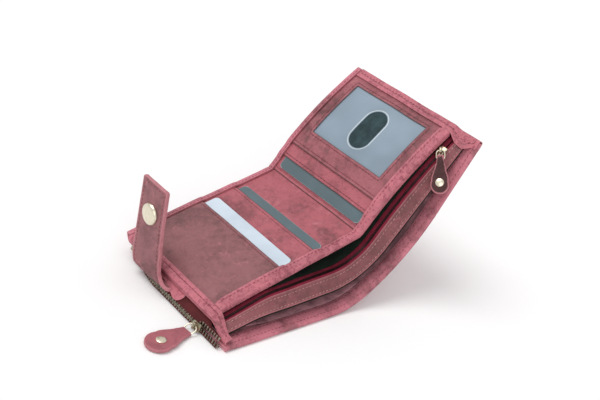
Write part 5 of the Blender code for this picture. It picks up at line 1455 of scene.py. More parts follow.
def make_window(half):
    """Frame leather with a window in it, the film behind with its thumb slot, and a dark backing."""
    start = 2.0 + WINDOW_PANEL_EDGE / PANEL_RIGHT_LENGTH
    low_s = 2.0 + WINDOW_START / PANEL_RIGHT_LENGTH
    high_s = low_s + WINDOW_LENGTH / PANEL_RIGHT_LENGTH
    low_y = OPEN_EDGE_Y + WINDOW_OPEN_SIDE_MARGIN
    high_y = low_y + WINDOW_HEIGHT
    film_rise = (WINDOW_FILM + CLEARANCE) / (CARD_THICKNESS + CLEARANCE)
    frame_place = pocket_place(3, 1 + film_rise)
    spots = spans((start, low_s, high_s, 3.0), WINDOW_SHARE_STEPS)
    ys = spans((OPEN_EDGE_Y, low_y, high_y, CLOSED_EDGE_Y), (FINE_STEP, SHEET_STEP, FINE_STEP))

    def hole(s, y):
        return low_s < s < high_s and low_y < y < high_y

    window = laid("window_frame", "window", frame_place, spots, ys, POCKET_LEATHER, hole=hole)
    ride(window, "right_half", ("window_frame",), "rose")
    out_s = WINDOW_SEAM / PANEL_RIGHT_LENGTH
    ring = [(low_s - out_s, low_y - WINDOW_SEAM), (high_s + out_s, low_y - WINDOW_SEAM),
            (high_s + out_s, high_y + WINDOW_SEAM), (low_s - out_s, high_y + WINDOW_SEAM)]
    rows = []
    for index, corner in enumerate(ring):
        path = line_uv(corner, ring[(index + 1) % len(ring)])
        rows.append(seam(f"window_stitches_{index}", frame_place, path, half))
    ride(joined("window_stitches", rows), "right_half", (), "rose")
    slot_seam("frame_edge_stitches", frame_place, start + SLOT_SEAM / PANEL_RIGHT_LENGTH, half, "right_half",
              "rose")

    rise = 2 * POCKET_STEP + (CARD_THICKNESS + CLEARANCE) + CLEARANCE + WINDOW_FILM / 2.0
    middle_y = (low_y + high_y) / 2.0 + THUMB_SLOT_RISE
    middle_s = (low_s + high_s) / 2.0
    end = THUMB_SLOT_HEIGHT / 2.0
    run = THUMB_SLOT_LENGTH / 2.0 - end

    def film_point(x, y, lift):
        """x and y measured from the thumb slot's middle."""
        s = middle_s + x / PANEL_RIGHT_LENGTH
        return with_y(stack(s, BASE_TOP_DEPTH - rise - lift), middle_y + y)

    def slot_edge(angle, out):
        """A point round the obround slot, a distance out from its edge."""
        x = (end + out) * math.cos(angle)
        shift = math.copysign(run * clamp(abs(x) / OBROUND_EASE), x)
        return x + shift, (end + out) * math.sin(angle)

    half_length = WINDOW_LENGTH / 2.0 + 2.0 * CLEARANCE
    half_height = WINDOW_HEIGHT / 2.0 + DRAPE_WIDTH / 2.0

    def film_place(angle, share):
        inner_x, inner_y = slot_edge(angle, -SLOT_INSET)
        reach = min(half_length / max(abs(math.cos(angle)), NEARLY_ZERO),
                    half_height / max(abs(math.sin(angle)), NEARLY_ZERO))
        outer_x, outer_y = reach * math.cos(angle), reach * math.sin(angle)
        return film_point(mix(inner_x, outer_x, share), mix(inner_y, outer_y, share), 0.0)

    corner = math.atan2(half_height, half_length)
    turns = [corner, math.pi - corner, math.pi + corner, math.tau - corner, math.tau + corner]
    angles = [corner]
    for a, b in zip(turns, turns[1:]):
        angles += stations(a, b, FILM_SIDE_STEPS)[1:]
    film = laid("window_film", "film", film_place, angles, stations(0.0, 1.0, FILM_STEPS), WINDOW_FILM,
                weld=True)
    ride(film, "right_half", ("window_film",), "film")

    # a pale raised ring round the thumb slot: painted highlight on the film's cut edge
    def rim_place(angle, turn):
        x, y = slot_edge(angle, RIM_SETBACK + RIM_WIDTH / 2.0 * math.cos(turn))
        return settle(film_point(x, y, WINDOW_FILM / 2.0 + RIM_HEIGHT * math.sin(turn)))

    rim = wrapped("thumb_slot_rim", "film_rim", rim_place, stations(0.0, math.tau, RIM_STEPS),
                  stations(0.0, math.tau, 8))
    ride(rim, "right_half", (), "film")

    def backing_place(s, y):
        return with_y(stack(s, BASE_TOP_DEPTH - rise + (WINDOW_FILM + CLEARANCE) / 2.0), y)

    spots = dense(low_s - BACKING_MARGIN_SHARE, high_s + BACKING_MARGIN_SHARE, BACKING_SHARE_STEP)
    ys = dense(low_y - BACKING_MARGIN, high_y + BACKING_MARGIN, BACKING_STEP)
    backing = laid("window_backing", "slate", backing_place, spots, ys, CLEARANCE / 3.0)
    ride(backing, "right_half", (), "lining")


def card(name, look, near_s, layers, cards, turn, right=False):
    """A card with rounded corners standing out of its slot."""
    below = layers * POCKET_STEP + cards * (CARD_THICKNESS + CLEARANCE)
    depth = BASE_TOP_DEPTH - below - CLEARANCE - CARD_THICKNESS / 2.0
    centre_y = (OPEN_EDGE_Y + CLOSED_EDGE_Y) / 2.0
    length = PANEL_RIGHT_LENGTH if right else PANEL_LEFT_LENGTH
    direction = 1.0 if right else -1.0
    corner = bpy.context.scene.wallet_sizes.card_corner

    def inset(distance):
        """How far the rounded corner has come in at a distance from the card's edge."""
        short = max(corner - distance, 0.0)
        return corner - math.sqrt(max(corner * corner - short * short, 0.0))

    def place(u, v):
        half = CARD_LENGTH / 2.0 - inset(min(u, 1.0 - u) * CARD_WIDTH)
        y = centre_y + v * half
        s = near_s + direction * u * CARD_WIDTH / length + math.tan(turn) * (y - centre_y) / length
        return with_y(stack(s, depth), y)

    ends = quarter(corner / CARD_WIDTH, CARD_CORNER_STEPS)
    us = ends + stations(ends[-1], 1.0 - ends[-1], 20)[1:-1] + [1.0 - e for e in reversed(ends)]
    return laid(name, look, place, us, stations(-1.0, 1.0, 30), CARD_THICKNESS, sink=False)


def make_cards():
    """The pale card in the big pocket and a grey one in each card strip."""
    pale = card("card_pale", "pale", share_at(PALE_CARD_EDGE), 1, 1, PALE_CARD_TURN)
    ride(pale, "pale_card", ("card_pale",), "pale")
    gray = card("card_gray", "gray", share_at(GRAY_CARD_EDGE), 0, 0, 0.0)
    ride(gray, "gray_card", ("card_gray",), "gray")
    dark_s = RIGHT_BEGIN + DARK_CARD_EDGE / PANEL_RIGHT_LENGTH
    dark = card("card_dark", "gray", dark_s, 1, 0, 0.0, right=True)
    ride(dark, "right_half", ("card_dark",), "gray")


def edge_top_place(s, y):
    """Middle of the opening edge binding's upper leg, a little crowned."""
    share = clamp((y - OPEN_EDGE_Y) / BINDING_WIDTH)
    crown = BINDING_CROWN * math.sin(math.pi * share)
    return with_y(stack(s, -edge_top(s) - rise_under(s, y) - CLEARANCE / 2.0 - crown), y)


def make_edge_binding():
    """The folded strip sewn over the opening edge of the panel."""
    nose_y = OPEN_EDGE_Y - CLEARANCE - BINDING_LEATHER / 2.0

    def place(s, v):
        if v < len(TOP_LEG):
            return edge_top_place(s, OPEN_EDGE_Y + BINDING_WIDTH * TOP_LEG[v])
        high = edge_top_place(s, nose_y)
        low = with_y(stack(s, LEG_DEPTH), nose_y)
        back = with_y(stack(s, LEG_DEPTH), OPEN_EDGE_Y + BINDING_WIDTH / 2.0)
        start = edge_top_place(s, OPEN_EDGE_Y + BINDING_WIDTH * TOP_LEG[-1])
        return rounded([start, high, low, back], 3)[v - len(TOP_LEG) + 1]

    first = share_at(BINDING_WIDTH + CLEARANCE)
    last = 3.0 - LEG_SHARE
    spots = [first] + [s for s in ALL_S if first + BINDING_END_SHARE < s < last - BINDING_END_SHARE] + [last]
    count = len(rounded([UP] * 4, 3))
    binding = laid("edge_binding", "binding", place, spots, range(len(TOP_LEG) + count - 1), BINDING_LEATHER)
    y = OPEN_EDGE_Y + EDGE_SEAM
    over_fold(binding, fold_ends(edge_top_place, y), "edge_binding")
    shares = (first + EDGE_SEAM_END_SHARE, last - EDGE_SEAM_END_SHARE)
    fold_seam("edge_binding_stitches", edge_top_place, y, shares, BINDING_LEATHER / 2.0)


def left_binding_line(y):
    """The left end binding's section at y: crowned upper leg, nose and lower leg."""
    drop = left_binding_drop(y)
    top = -(2 * POCKET_STEP - BASE_TOP_DEPTH + CLEARANCE + BINDING_LEATHER / 2.0)
    nose = -(CLEARANCE + BINDING_LEATHER * 2.0)
    fall = LEFT_END_Z - COVER_LEATHER - HEM_STEP - LEG_DEPTH - BINDING_LEATHER
    upper = mix(top, mix(LEG_DEPTH, top, LEFT_BINDING_SHUT_SHARE), drop)
    crown = upper - END_CROWN
    wide = BINDING_WIDTH * (1.0 - LEFT_FOOT_NARROWING * drop)
    points = [FACE.beside(wide, upper), FACE.beside(wide * 0.75, crown),
              FACE.beside(wide / 2.0, upper), FACE.beside(wide / 4.0, crown),
              FACE.beside(nose, upper), FACE.beside(nose, LEG_DEPTH), FACE.beside(0.0, LEG_DEPTH)]
    return [with_y(point - UP * fall * drop, y) for point in rounded(points, 2)]


def right_binding_line(y):
    """The right end binding's section: round all the layers at the window end."""
    out = COVER_LEATHER / 2.0 + CLEARANCE + BINDING_LEATHER / 2.0
    inner_s = RIGHT_LEG_SHARES[1] + CLEARANCE / PANEL_RIGHT_LENGTH
    inner = right_leg(inner_s, y)
    outer = cover_surface(inner_s, y, -out)
    end = cover_surface(3.0, y, -out)
    ahead = (end - outer).normalized()
    leg = right_leg(3.0, y)
    over = leg + ahead * (max(ahead.dot(end - leg), 0.0) + out)
    lift = UP * END_CROWN
    points = [inner, inner.lerp(over, 0.25) + lift, inner.lerp(over, 0.5), inner.lerp(over, 0.75) + lift,
              over, end + ahead * out, outer]
    return [with_y(point, y) for point in rounded(points, 2)]


def make_end_bindings():
    """The folded strips round the left and the right end, each with one row of stitches."""
    count = len(left_binding_line(0.0))
    top_y = CLOSED_EDGE_Y - TURNED_EDGE_WIDTH - CLEARANCE
    lines = (("left_end_binding", left_binding_line, COVER_EDGE_Y + HEM_STEP, "wallet"),
             ("right_end_binding", right_binding_line, COVER_EDGE_Y + CLEARANCE, "right_half"))
    for name, section, low_y, body in lines:
        kept = {}

        def place(index, y):
            key = round(y / WELD)
            if key not in kept:
                kept[key] = section(y)
            line = kept[key]
            lower = min(max(int(index), 0), len(line) - 2)
            return line[lower].lerp(line[lower + 1], index - lower)

        ys = dense(top_y, low_y, END_STEP)
        ride(laid(name, "end_binding", place, range(count), ys, BINDING_LEATHER), body, (name,), "binding")
        middle = count * END_SEAM_SHARE
        path = line_uv((middle, top_y - END_SEAM_TOP), (middle, low_y + END_SEAM_FOOT), END_SEAM_STEPS)
        ride(seam(f"{name}_stitches", place, path, BINDING_LEATHER / 2.0), body, (), "binding")


def make_linings():
    """The lining panel, the zipped pocket's back and the coin pocket's lining."""
    tape_top = ZIP_LINE_Y + BILL_TAPE_INNER + BILL_TAPE_SHOWN
    ys = dense(CLOSED_EDGE_Y, tape_top + CLEARANCE)
    panel = laid("zip_panel", "lining", zip_surface, ALL_S, ys, LINING)
    over_fold(panel, fold_ends(zip_surface), "zip_panel")
    back = laid("pocket_back", "lining", back_surface, ALL_S, dense(CLOSED_EDGE_Y, DIVIDER_EDGE_Y), LINING)
    over_fold(back, fold_ends(back_surface), "pocket_back")
    spots = [s for s in LEFT_S if s < LEFT_END] + [LEFT_END]
    ys = dense(CLOSED_EDGE_Y, COVER_EDGE_Y + HEM_WIDTH + HEM_STEP)
    coin = laid("coin_lining", "suede", coin_surface, spots, ys, LINING)
    ride(coin, "wallet", ("coin_lining",), "lining")
    for sheet in (panel, back, coin):
        width, length, area = sheet["flat"]
        min(area, width * length)


def make_bill_zip():
    """Crimson tapes, the closed rows of teeth and the leather strip on the divider."""
    ends = fold_ends(zip_surface, ZIP_LINE_Y)
    upper_edge = ZIP_LINE_Y + BILL_TAPE_INNER + BILL_TAPE_SHOWN
    lower_edge = ZIP_LINE_Y - TOOTH_REACH - CLEARANCE - BILL_TAPE_WIDTH / 3.0
    for name, start_y, end_y in (("bill_tape_upper", upper_edge, ZIP_LINE_Y + BILL_TAPE_INNER),
                                 ("bill_tape_lower", ZIP_LINE_Y - BILL_TAPE_INNER, lower_edge)):
        tape = laid(name, "crimson", zip_surface, ALL_S, dense(start_y, end_y, TAPE_STEP), LINING)
        over_fold(tape, ends, name)
    top_y = ZIP_LINE_Y - DIVIDER_TOP_DROP

    def strip_place(s, y):
        over = ease((y - lower_edge) / (top_y - lower_edge))
        return zip_surface(s, y, -DIVIDER_LIFT * over)

    ys = dense(top_y, DIVIDER_EDGE_Y, STRIP_STEP)
    strip = laid("divider_strip", "divider", strip_place, ALL_S, ys, DIVIDER_LEATHER)
    over_fold(strip, ends, "divider_strip")
    for label, y in (("upper", top_y - DIVIDER_SEAM_UPPER), ("lower", DIVIDER_EDGE_Y + DIVIDER_SEAM_LOWER)):
        fold_seam(f"divider_stitches_{label}", strip_place, y, DIVIDER_SEAM_SHARES, DIVIDER_LEATHER / 2.0,
                  "thread_pale", zip_surface)
    run = ZIP_SECTION.length - ZIP_GUIDE.right
    closed_end = 2.0 + BILL_SLIDER_SHARE - BRIDGE_LENGTH / run
    line = [zip_surface(s, ZIP_LINE_Y) for s in stations(BILL_CHAIN_START_SHARE, closed_end, CHAIN_STEPS)]
    frames = []
    for order, spot in enumerate(spaced(line, BILL_TOOTH_STEP)):
        index = int(spot)
        s = mix(BILL_CHAIN_START_SHARE, closed_end, spot / CHAIN_STEPS)
        along = line[min(index + 1, CHAIN_STEPS)] - line[index]
        across = zip_surface(s, ZIP_LINE_Y - TOOTH_REACH) - zip_surface(s, ZIP_LINE_Y + TOOTH_REACH)
        point = settle(zip_surface(s, ZIP_LINE_Y))
        out = across.cross(along).normalized()
        out = out if out.z > 0.0 else -out
        side = across.normalized() * (1.0 if order % 2 else -1.0)
        frames.append(frame_of(point + out * BILL_TOOTH_LIFT, side, out))
    pattern = tooth_pattern(BILL_TOOTH_SHAPE, BILL_TOOTH_THICKNESS, 0.0)
    over_fold(copies("bill_teeth", "dark_metal", pattern, frames), ends, "bill_teeth")


def tooth_pattern(shape, thickness, bevel):
    """One zip tooth: neck, shoulders and rounded head, from half outlines of (x, y)."""
    outline = list(shape) + [(x, -y) for x, y in reversed(shape)]
    return slab("tooth_pattern", "coin_teeth", outline, thickness, Matrix.Identity(4), bevel, 1)


def make_coin_zip():
    """The teeth rows on their crimson tapes, the tapes' corded edges and the end stop."""
    count = round((COIN_CHAIN_FAR_Y - COIN_TEETH_END_Y) / COIN_TOOTH_PITCH)
    tooth = COIN_TOOTH_PITCH / 2.0 - CLEARANCE
    for name, upper in (("coin_teeth_upper", True), ("coin_teeth_lower", False)):
        way = 1.0 if upper else -1.0
        start = CLEARANCE + tooth / 2.0 + (0.0 if upper else COIN_TOOTH_PITCH / 2.0)
        frames = []
        for i in range(count):
            y = COIN_CHAIN_FAR_Y - start - i * COIN_TOOTH_PITCH
            frames.append(frame_of(coin_row_centre(y, upper), COIN_DOWN * way, COIN_OUT))
        pattern = tooth_pattern(COIN_TOOTH_SHAPE, COIN_TOOTH_THICKNESS, COIN_TOOTH_BEVEL)
        ride(copies(name, "coin_teeth", pattern, frames), "wallet", (name,), "brass")

        def cord_place(turn, y):
            middle = coin_row_centre(y, upper) - COIN_DOWN * way * (TOOTH_REACH - TOOTH_BEAD / 2.0)
            side = COIN_OUT * math.cos(turn) + COIN_DOWN * math.sin(turn)
            return middle + side * TOOTH_BEAD

        cord = wrapped(f"{name}_cord", "coin_tape", cord_place, stations(0.0, math.tau, 8),
                       dense(COIN_CHAIN_FAR_Y, COIN_TEETH_END_Y, FINE_STEP))
        ride(cord, "wallet", (), "crimson")

    def upper_place(share, y):
        low = coin_row_centre(y, True) - COIN_DOWN * TOOTH_REACH
        under = LEG_DEPTH + BINDING_LEATHER / 2.0 + CLEARANCE
        inside = FACE.beside(-BINDING_LEATHER, under + LINING + CLEARANCE)
        outside = low + xz(BINDING_LEATHER, -BINDING_LEATHER)
        out = ease((OPEN_EDGE_Y - y) / (BINDING_WIDTH - CLEARANCE))
        return low.lerp(with_y(inside.lerp(outside, out), y), share)

    ys = dense(CLOSED_EDGE_Y - COIN_TAPE_END, COIN_TEETH_END_Y + HEM_WIDTH / 2.0, END_STEP)
    tape = laid("coin_tape_upper", "coin_tape", upper_place, stations(0.0, 1.0, 8), ys, LINING, sink=False)
    ride(tape, "wallet", ("coin_tape_upper",), "crimson")

    def lower_place(share, y):
        out = coin_row_centre(y, False) + COIN_DOWN * TOOTH_REACH
        low = with_y(cover_surface(0.0, y), y)
        start = xz(out.x, low.z, y)
        return start.lerp(xz(low.x - 2.0 * CLEARANCE, low.z, y), share)

    ys = dense(CLOSED_EDGE_Y - COIN_TAPE_END, COIN_TEETH_END_Y, END_STEP)
    tape = laid("coin_tape_lower", "coin_tape", lower_place, stations(0.0, 1.0, 4), ys, LINING, sink=False)
    ride(tape, "wallet", ("coin_tape_lower",), "crimson")
    half = COIN_TOOTH_PITCH / 2.0
    narrow = half * 0.7
    short = TOOTH_REACH * 0.8
    outline = [(-narrow, TOOTH_REACH), (narrow, TOOTH_REACH), (half, short), (half, -short),
               (narrow, -TOOTH_REACH), (-narrow, -TOOTH_REACH), (-half, -short), (-half, short)]
    place = frame_of(coin_row_centre(COIN_CHAIN_FAR_Y + CLEARANCE + half, False), Y_AXIS,
                     COIN_OUT)
    stop = slab("coin_zip_stop", "brass", outline, TEETH_THICKNESS, place, SOFT_BEVEL)
    ride(stop, "wallet", ("coin_zip_stop",), "brass")


def make_slider(name, frame, bridge_turn, post_shift):
    """Two waisted plates, the post between them and an arched bridge over the pull's loop."""
    gap = TEETH_THICKNESS / 2.0 + CLEARANCE * 1.5
    half = SLIDER_LENGTH / 2.0
    outline = [(share * half, width * SLIDER_WIDTH / 2.0) for share, width in SLIDER_SHAPE]
    outline += [(x, -y) for x, y in reversed(outline)]
    front = slab(f"{name}_front", "brass", outline, SLIDER_PLATE,
                 frame @ Matrix.Translation((0.0, 0.0, gap + SLIDER_PLATE / 2.0)), SOFT_BEVEL)
    inner = [(x, y * SLIDER_BACK_WIDTH / SLIDER_WIDTH) for x, y in outline]
    back = slab(f"{name}_back", "brass", inner, SLIDER_PLATE,
                frame @ Matrix.Translation((0.0, 0.0, -gap - SLIDER_PLATE / 2.0)), BACK_BEVEL)
    run = SLIDER_LENGTH / 8.0
    wide = SLIDER_POST_WIDTH / 2.0
    post_at = Matrix.Translation((half - run - CLEARANCE, post_shift, 0.0))
    post = slab(f"{name}_post", "brass", [(-run, -wide), (run, -wide), (run, wide), (-run, wide)],
                2.0 * gap + SLIDER_PLATE, frame @ post_at, POST_BEVEL)
    lift = gap + SLIDER_PLATE
    outer_half = BRIDGE_WIDTH / 2.0
    inner_half = outer_half - BRIDGE_BAR
    arch = []
    angles = stations(0.0, math.pi, BRIDGE_STEPS)
    for radius_y, radius_z, turns in ((outer_half, BRIDGE_RISE, angles),
                                      (inner_half, BRIDGE_RISE - BRIDGE_BAR, reversed(angles))):
        for angle in turns:
            square = 1.0 / max(abs(math.cos(angle)), abs(math.sin(angle)))
            reach = mix(1.0, square, BRIDGE_SQUARENESS)
            arch.append((radius_y * reach * math.cos(angle), radius_z * reach * math.sin(angle)))
    # the arch's feet reach down into the front plate
    for index, y in ((0, outer_half), (BRIDGE_STEPS, -outer_half), (BRIDGE_STEPS + 1, -inner_half),
                     (-1, inner_half)):
        arch[index] = (y, -SLIDER_PLATE / 2.0)
    upright = Matrix(((0.0, 0.0, 1.0, 0.0), (1.0, 0.0, 0.0, 0.0), (0.0, 1.0, 0.0, lift),
                      (0.0, 0.0, 0.0, 1.0)))
    bridge_frame = frame @ Matrix.Rotation(bridge_turn, 4, "Z") @ upright
    bridge = slab(f"{name}_bridge", "brass", arch, BRIDGE_LENGTH, bridge_frame, SHARP_BEVEL)
    ride(joined(name, [front, back, post, bridge]), name, (name,), "brass")
    return lift + BRIDGE_RISE - BRIDGE_BAR - CLEARANCE - LOOP_WIRE_RADIUS


def make_loop(name, frame, length, width, body):
    """A wire loop in the frame's XY plane, with one side on the origin along Y."""
    line = []
    half_length = length / 2.0 - LOOP_CORNER
    half_width = width / 2.0 - LOOP_CORNER
    for index, (way_x, way_y) in enumerate(((1, 1), (-1, 1), (-1, -1), (1, -1))):
        for share in stations(0.0, 1.0, LOOP_CORNER_STEPS):
            angle = math.pi / 2.0 * (index + share)
            x = way_x * half_width + LOOP_CORNER * math.cos(angle)
            y = way_y * half_length + LOOP_CORNER * math.sin(angle)
            line.append(frame @ Vector((x - width / 2.0, y, 0.0)))
    outward = (frame.to_3x3() @ UP).normalized()
    loop = tube(name, "pale_gold", line, LOOP_WIRE_RADIUS, outward)
    ride(loop, body, (name,), "brass")


def tab_outline(length, tip, tongue_width, neck, round_radius):
    """Tongue, neck and round end, along -X from the tongue's tip near the origin."""
    tongue = TAB_TONGUE_LENGTH
    centre = length - round_radius
    shoulder = tongue + TAB_SHOULDER
    blunt = tongue_width * 0.4
    start = [(tip, -blunt), (tip, blunt), (tip - TAB_TIP_CORNER, tongue_width / 2.0),
             (-tongue, mix(tongue_width, neck, 0.5) / 2.0), (-shoulder, neck / 2.0)]
    side = [start[-1]]
    for share in stations(0.0, 1.0, TAB_SIDE_STEPS)[1:-1]:
        wide = mix(neck / 2.0, round_radius, ease(share) * TAB_WAIST)
        side.append((-mix(shoulder, centre - round_radius * 0.4, share), wide))
    turn = []
    for angle in stations(TAB_TURN_START, math.tau - TAB_TURN_START, TAB_TURN_STEPS):
        turn.append((-centre + round_radius * math.cos(angle), round_radius * math.sin(angle)))
    lower = [(x, -y) for x, y in reversed(side[1:])]
    end = [(x, -y) for x, y in reversed(start[2:])]
    return start + side[1:] + turn + lower + end


def make_pull(prefix, hinge, loop, outward, lie, tab_sizes, rivet_radius, sag):
    """Loop, leather tab and rivet. The hinge frame has Y on the hinge axis and -X to the tab."""
    body = f"{prefix}_pull"
    make_loop(f"{body}_loop", hinge, *loop, body)
    far = hinge @ Vector((-loop[1], 0.0, 0.0))
    place = frame_of(far, lie, outward)
    length = tab_sizes[0]
    round_radius = tab_sizes[-1]
    outline = tab_outline(*tab_sizes)
    thickness = TAB_THICKNESS * TAB_THICKNESS_SHARE
    tab = slab(f"{body}_tab", f"{prefix}_tab", outline, thickness, Matrix.Identity(4), TAB_BEVEL, 3)
    refine_tab(tab, outline, sag)
    tab.data.transform(place)
    ride(tab, body, (f"{body}_tab",), f"{prefix}_tab")
    face = thickness / 2.0
    reach = length - round_radius - RIVET_SETBACK
    centre = place @ Vector((-reach, 0.0, face + sag_at(reach, length, sag)))
    profile = [(0.0, RIVET_RISE)]
    for share in RIVET_SHARES:
        rise = RIVET_RISE * math.sqrt(1.0 - share * share * RIVET_ROUNDNESS)
        profile.append((share * rivet_radius, rise))
    profile += [(rivet_radius, -face), (0.0, -face)]
    rivet = turned(f"{body}_rivet", "pale_gold", profile, frame_of(centre, lie, outward), 28)
    ride(rivet, body, (f"{body}_rivet",), "pale_gold")


def sag_at(distance, length, sag):
    """How far the tab has bent at a distance from the loop."""
    share = clamp(distance / length)
    return sag * math.sin(math.pi * share)


def refine_tab(tab, outline, sag):
    """Cut the tab's faces across both ways, mark how far its edge is, and bend it."""
    length = max(-x for x, _y in outline)
    shape = bmesh.new()
    shape.from_mesh(tab.data)
    cuts = [Vector((-length * i / TAB_CUTS, 0.0, 0.0)) for i in range(1, TAB_CUTS)]
    cuts += [Vector((0.0, length * i / TAB_CUTS, 0.0)) for i in range(-TAB_CUTS // 3, TAB_CUTS // 3 + 1)]
    for cut in cuts:
        normal = Y_AXIS if cut.x == 0.0 else X_AXIS
        everything = shape.verts[:] + shape.edges[:] + shape.faces[:]
        bmesh.ops.bisect_plane(shape, geom=everything, plane_co=cut, plane_no=normal)
    shape.to_mesh(tab.data)
    shape.free()
    ring = [Vector((x, y, 0.0)) for x, y in outline]
    tree = edge_tree([(ring[index - 1], corner) for index, corner in enumerate(ring)], 0.0)
    flat = [Vector((vertex.co.x, vertex.co.y, 0.0)) for vertex in tab.data.vertices]
    mark(tab.data, "rim", [tree.find(point)[2] for point in flat])
    for vertex in tab.data.vertices:
        vertex.co.z += sag_at(-vertex.co.x, length, sag)


def make_coin_pull():
    """The coin zip's slider with its pull, whose tab lies on the floor."""
    centre = coin_row_centre(COIN_SLIDER_Y, False)
    frame = frame_of(centre, -Y_AXIS, COIN_OUT)
    out = make_slider("coin_slider", frame, 0.0, COIN_TEETH_SPREAD / 2.0)
    hinge_point = centre + COIN_OUT * out
    tab_z = TAB_THICKNESS / 2.0 + CLEARANCE
    fall = (hinge_point.z - tab_z) / COIN_LOOP_WIDTH
    down = Vector((-math.sqrt(1.0 - fall * fall), 0.0, -fall))
    hinge = frame_of(hinge_point, -down, Y_AXIS.cross(down))
    flat = Matrix.Rotation(COIN_TAB_SWING, 3, "Z") @ X_AXIS
    tab = (COIN_TAB_LENGTH, TAB_TIP, COIN_TONGUE_WIDTH, COIN_TAB_NECK, COIN_TAB_ROUND)
    make_pull("coin", hinge, (COIN_LOOP_LENGTH, COIN_LOOP_WIDTH), UP, flat, tab, COIN_RIVET_RADIUS,
              COIN_TAB_SAG)


def make_bill_pull():
    """The bill zip's slider with its pull, whose tab hangs over the divider strip."""
    point, along, across, outward, chain_out = bill_frame()
    frame = frame_of(point, along, chain_out)
    out = make_slider("bill_slider", frame, math.pi / 2.0 + BILL_TAB_SWING, 0.0)
    hinge_point = point + chain_out * out
    lie = (along * math.cos(BILL_TAB_SWING) - across * math.sin(BILL_TAB_SWING)).normalized()
    lifted = (outward + chain_out).normalized()
    hinge = frame_of(hinge_point, lie, lifted)
    tab = (BILL_TAB_LENGTH, BILL_TAB_TIP, BILL_TONGUE_WIDTH, BILL_TAB_NECK, BILL_TAB_ROUND)
    make_pull("bill", hinge, (BILL_LOOP_LENGTH, BILL_LOOP_WIDTH), lifted, lie, tab, BILL_RIVET_RADIUS,
              BILL_TAB_SAG)


STRAP_BASE_Z = STRAP_HINGE_Z + 2.0 * CLEARANCE
STRAP_LINE = (Section(STRAP_FACE_X + STRAP_CURL_RADIUS + STRAP_ROOT_RUN,
                      STRAP_HINGE_Z - STRAP_CURL_RADIUS, math.pi)
              .straight(STRAP_ROOT_RUN)
              .arc(STRAP_CURL_RADIUS, -math.pi / 2.0)
              .straight(STRAP_LENGTH + 2.0 * CLEARANCE))


def strap_place(distance, v):
    """Middle of the strap at a distance along its curl and a share across it."""
    x, z, _heading = STRAP_LINE.at(distance)
    up = clamp((z - STRAP_BASE_Z) / STRAP_LENGTH)
    low = 1.0 - clamp(distance / (STRAP_ROOT_RUN + STRAP_CURL_RADIUS * 3.0))
    width = mix(STRAP_WIDTH, STRAP_TOP_WIDTH, up)
    short = max(STRAP_TIP_CORNER - (STRAP_LINE.length - distance), 0.0)
    width -= 2.0 * (STRAP_TIP_CORNER - math.sqrt(max(STRAP_TIP_CORNER ** 2 - short ** 2, 0.0)))
    foot = 1.0 - clamp((z - STRAP_BASE_Z) / STRAP_SPREAD_RISE)
    flare = (STRAP_FLARE * ease(low) + STRAP_SPREAD * foot ** STRAP_SPREAD_POWER) * (1.0 - v)
    y = STRAP_CENTRE_Y + (v - 0.5) * width - flare - STRAP_ROOT_SHIFT * ease(low) * v
    sink = mix(STRAP_FLARE_DROP, STRAP_SAG, ease((v - STRAP_SAG_START) / STRAP_SAG_RUN)) * ease(low)
    hollow = STRAP_CUP * (2.0 * v - 1.0) ** 2 * up
    return xz(x + hollow - STRAP_LEAN * up, z - sink, y)


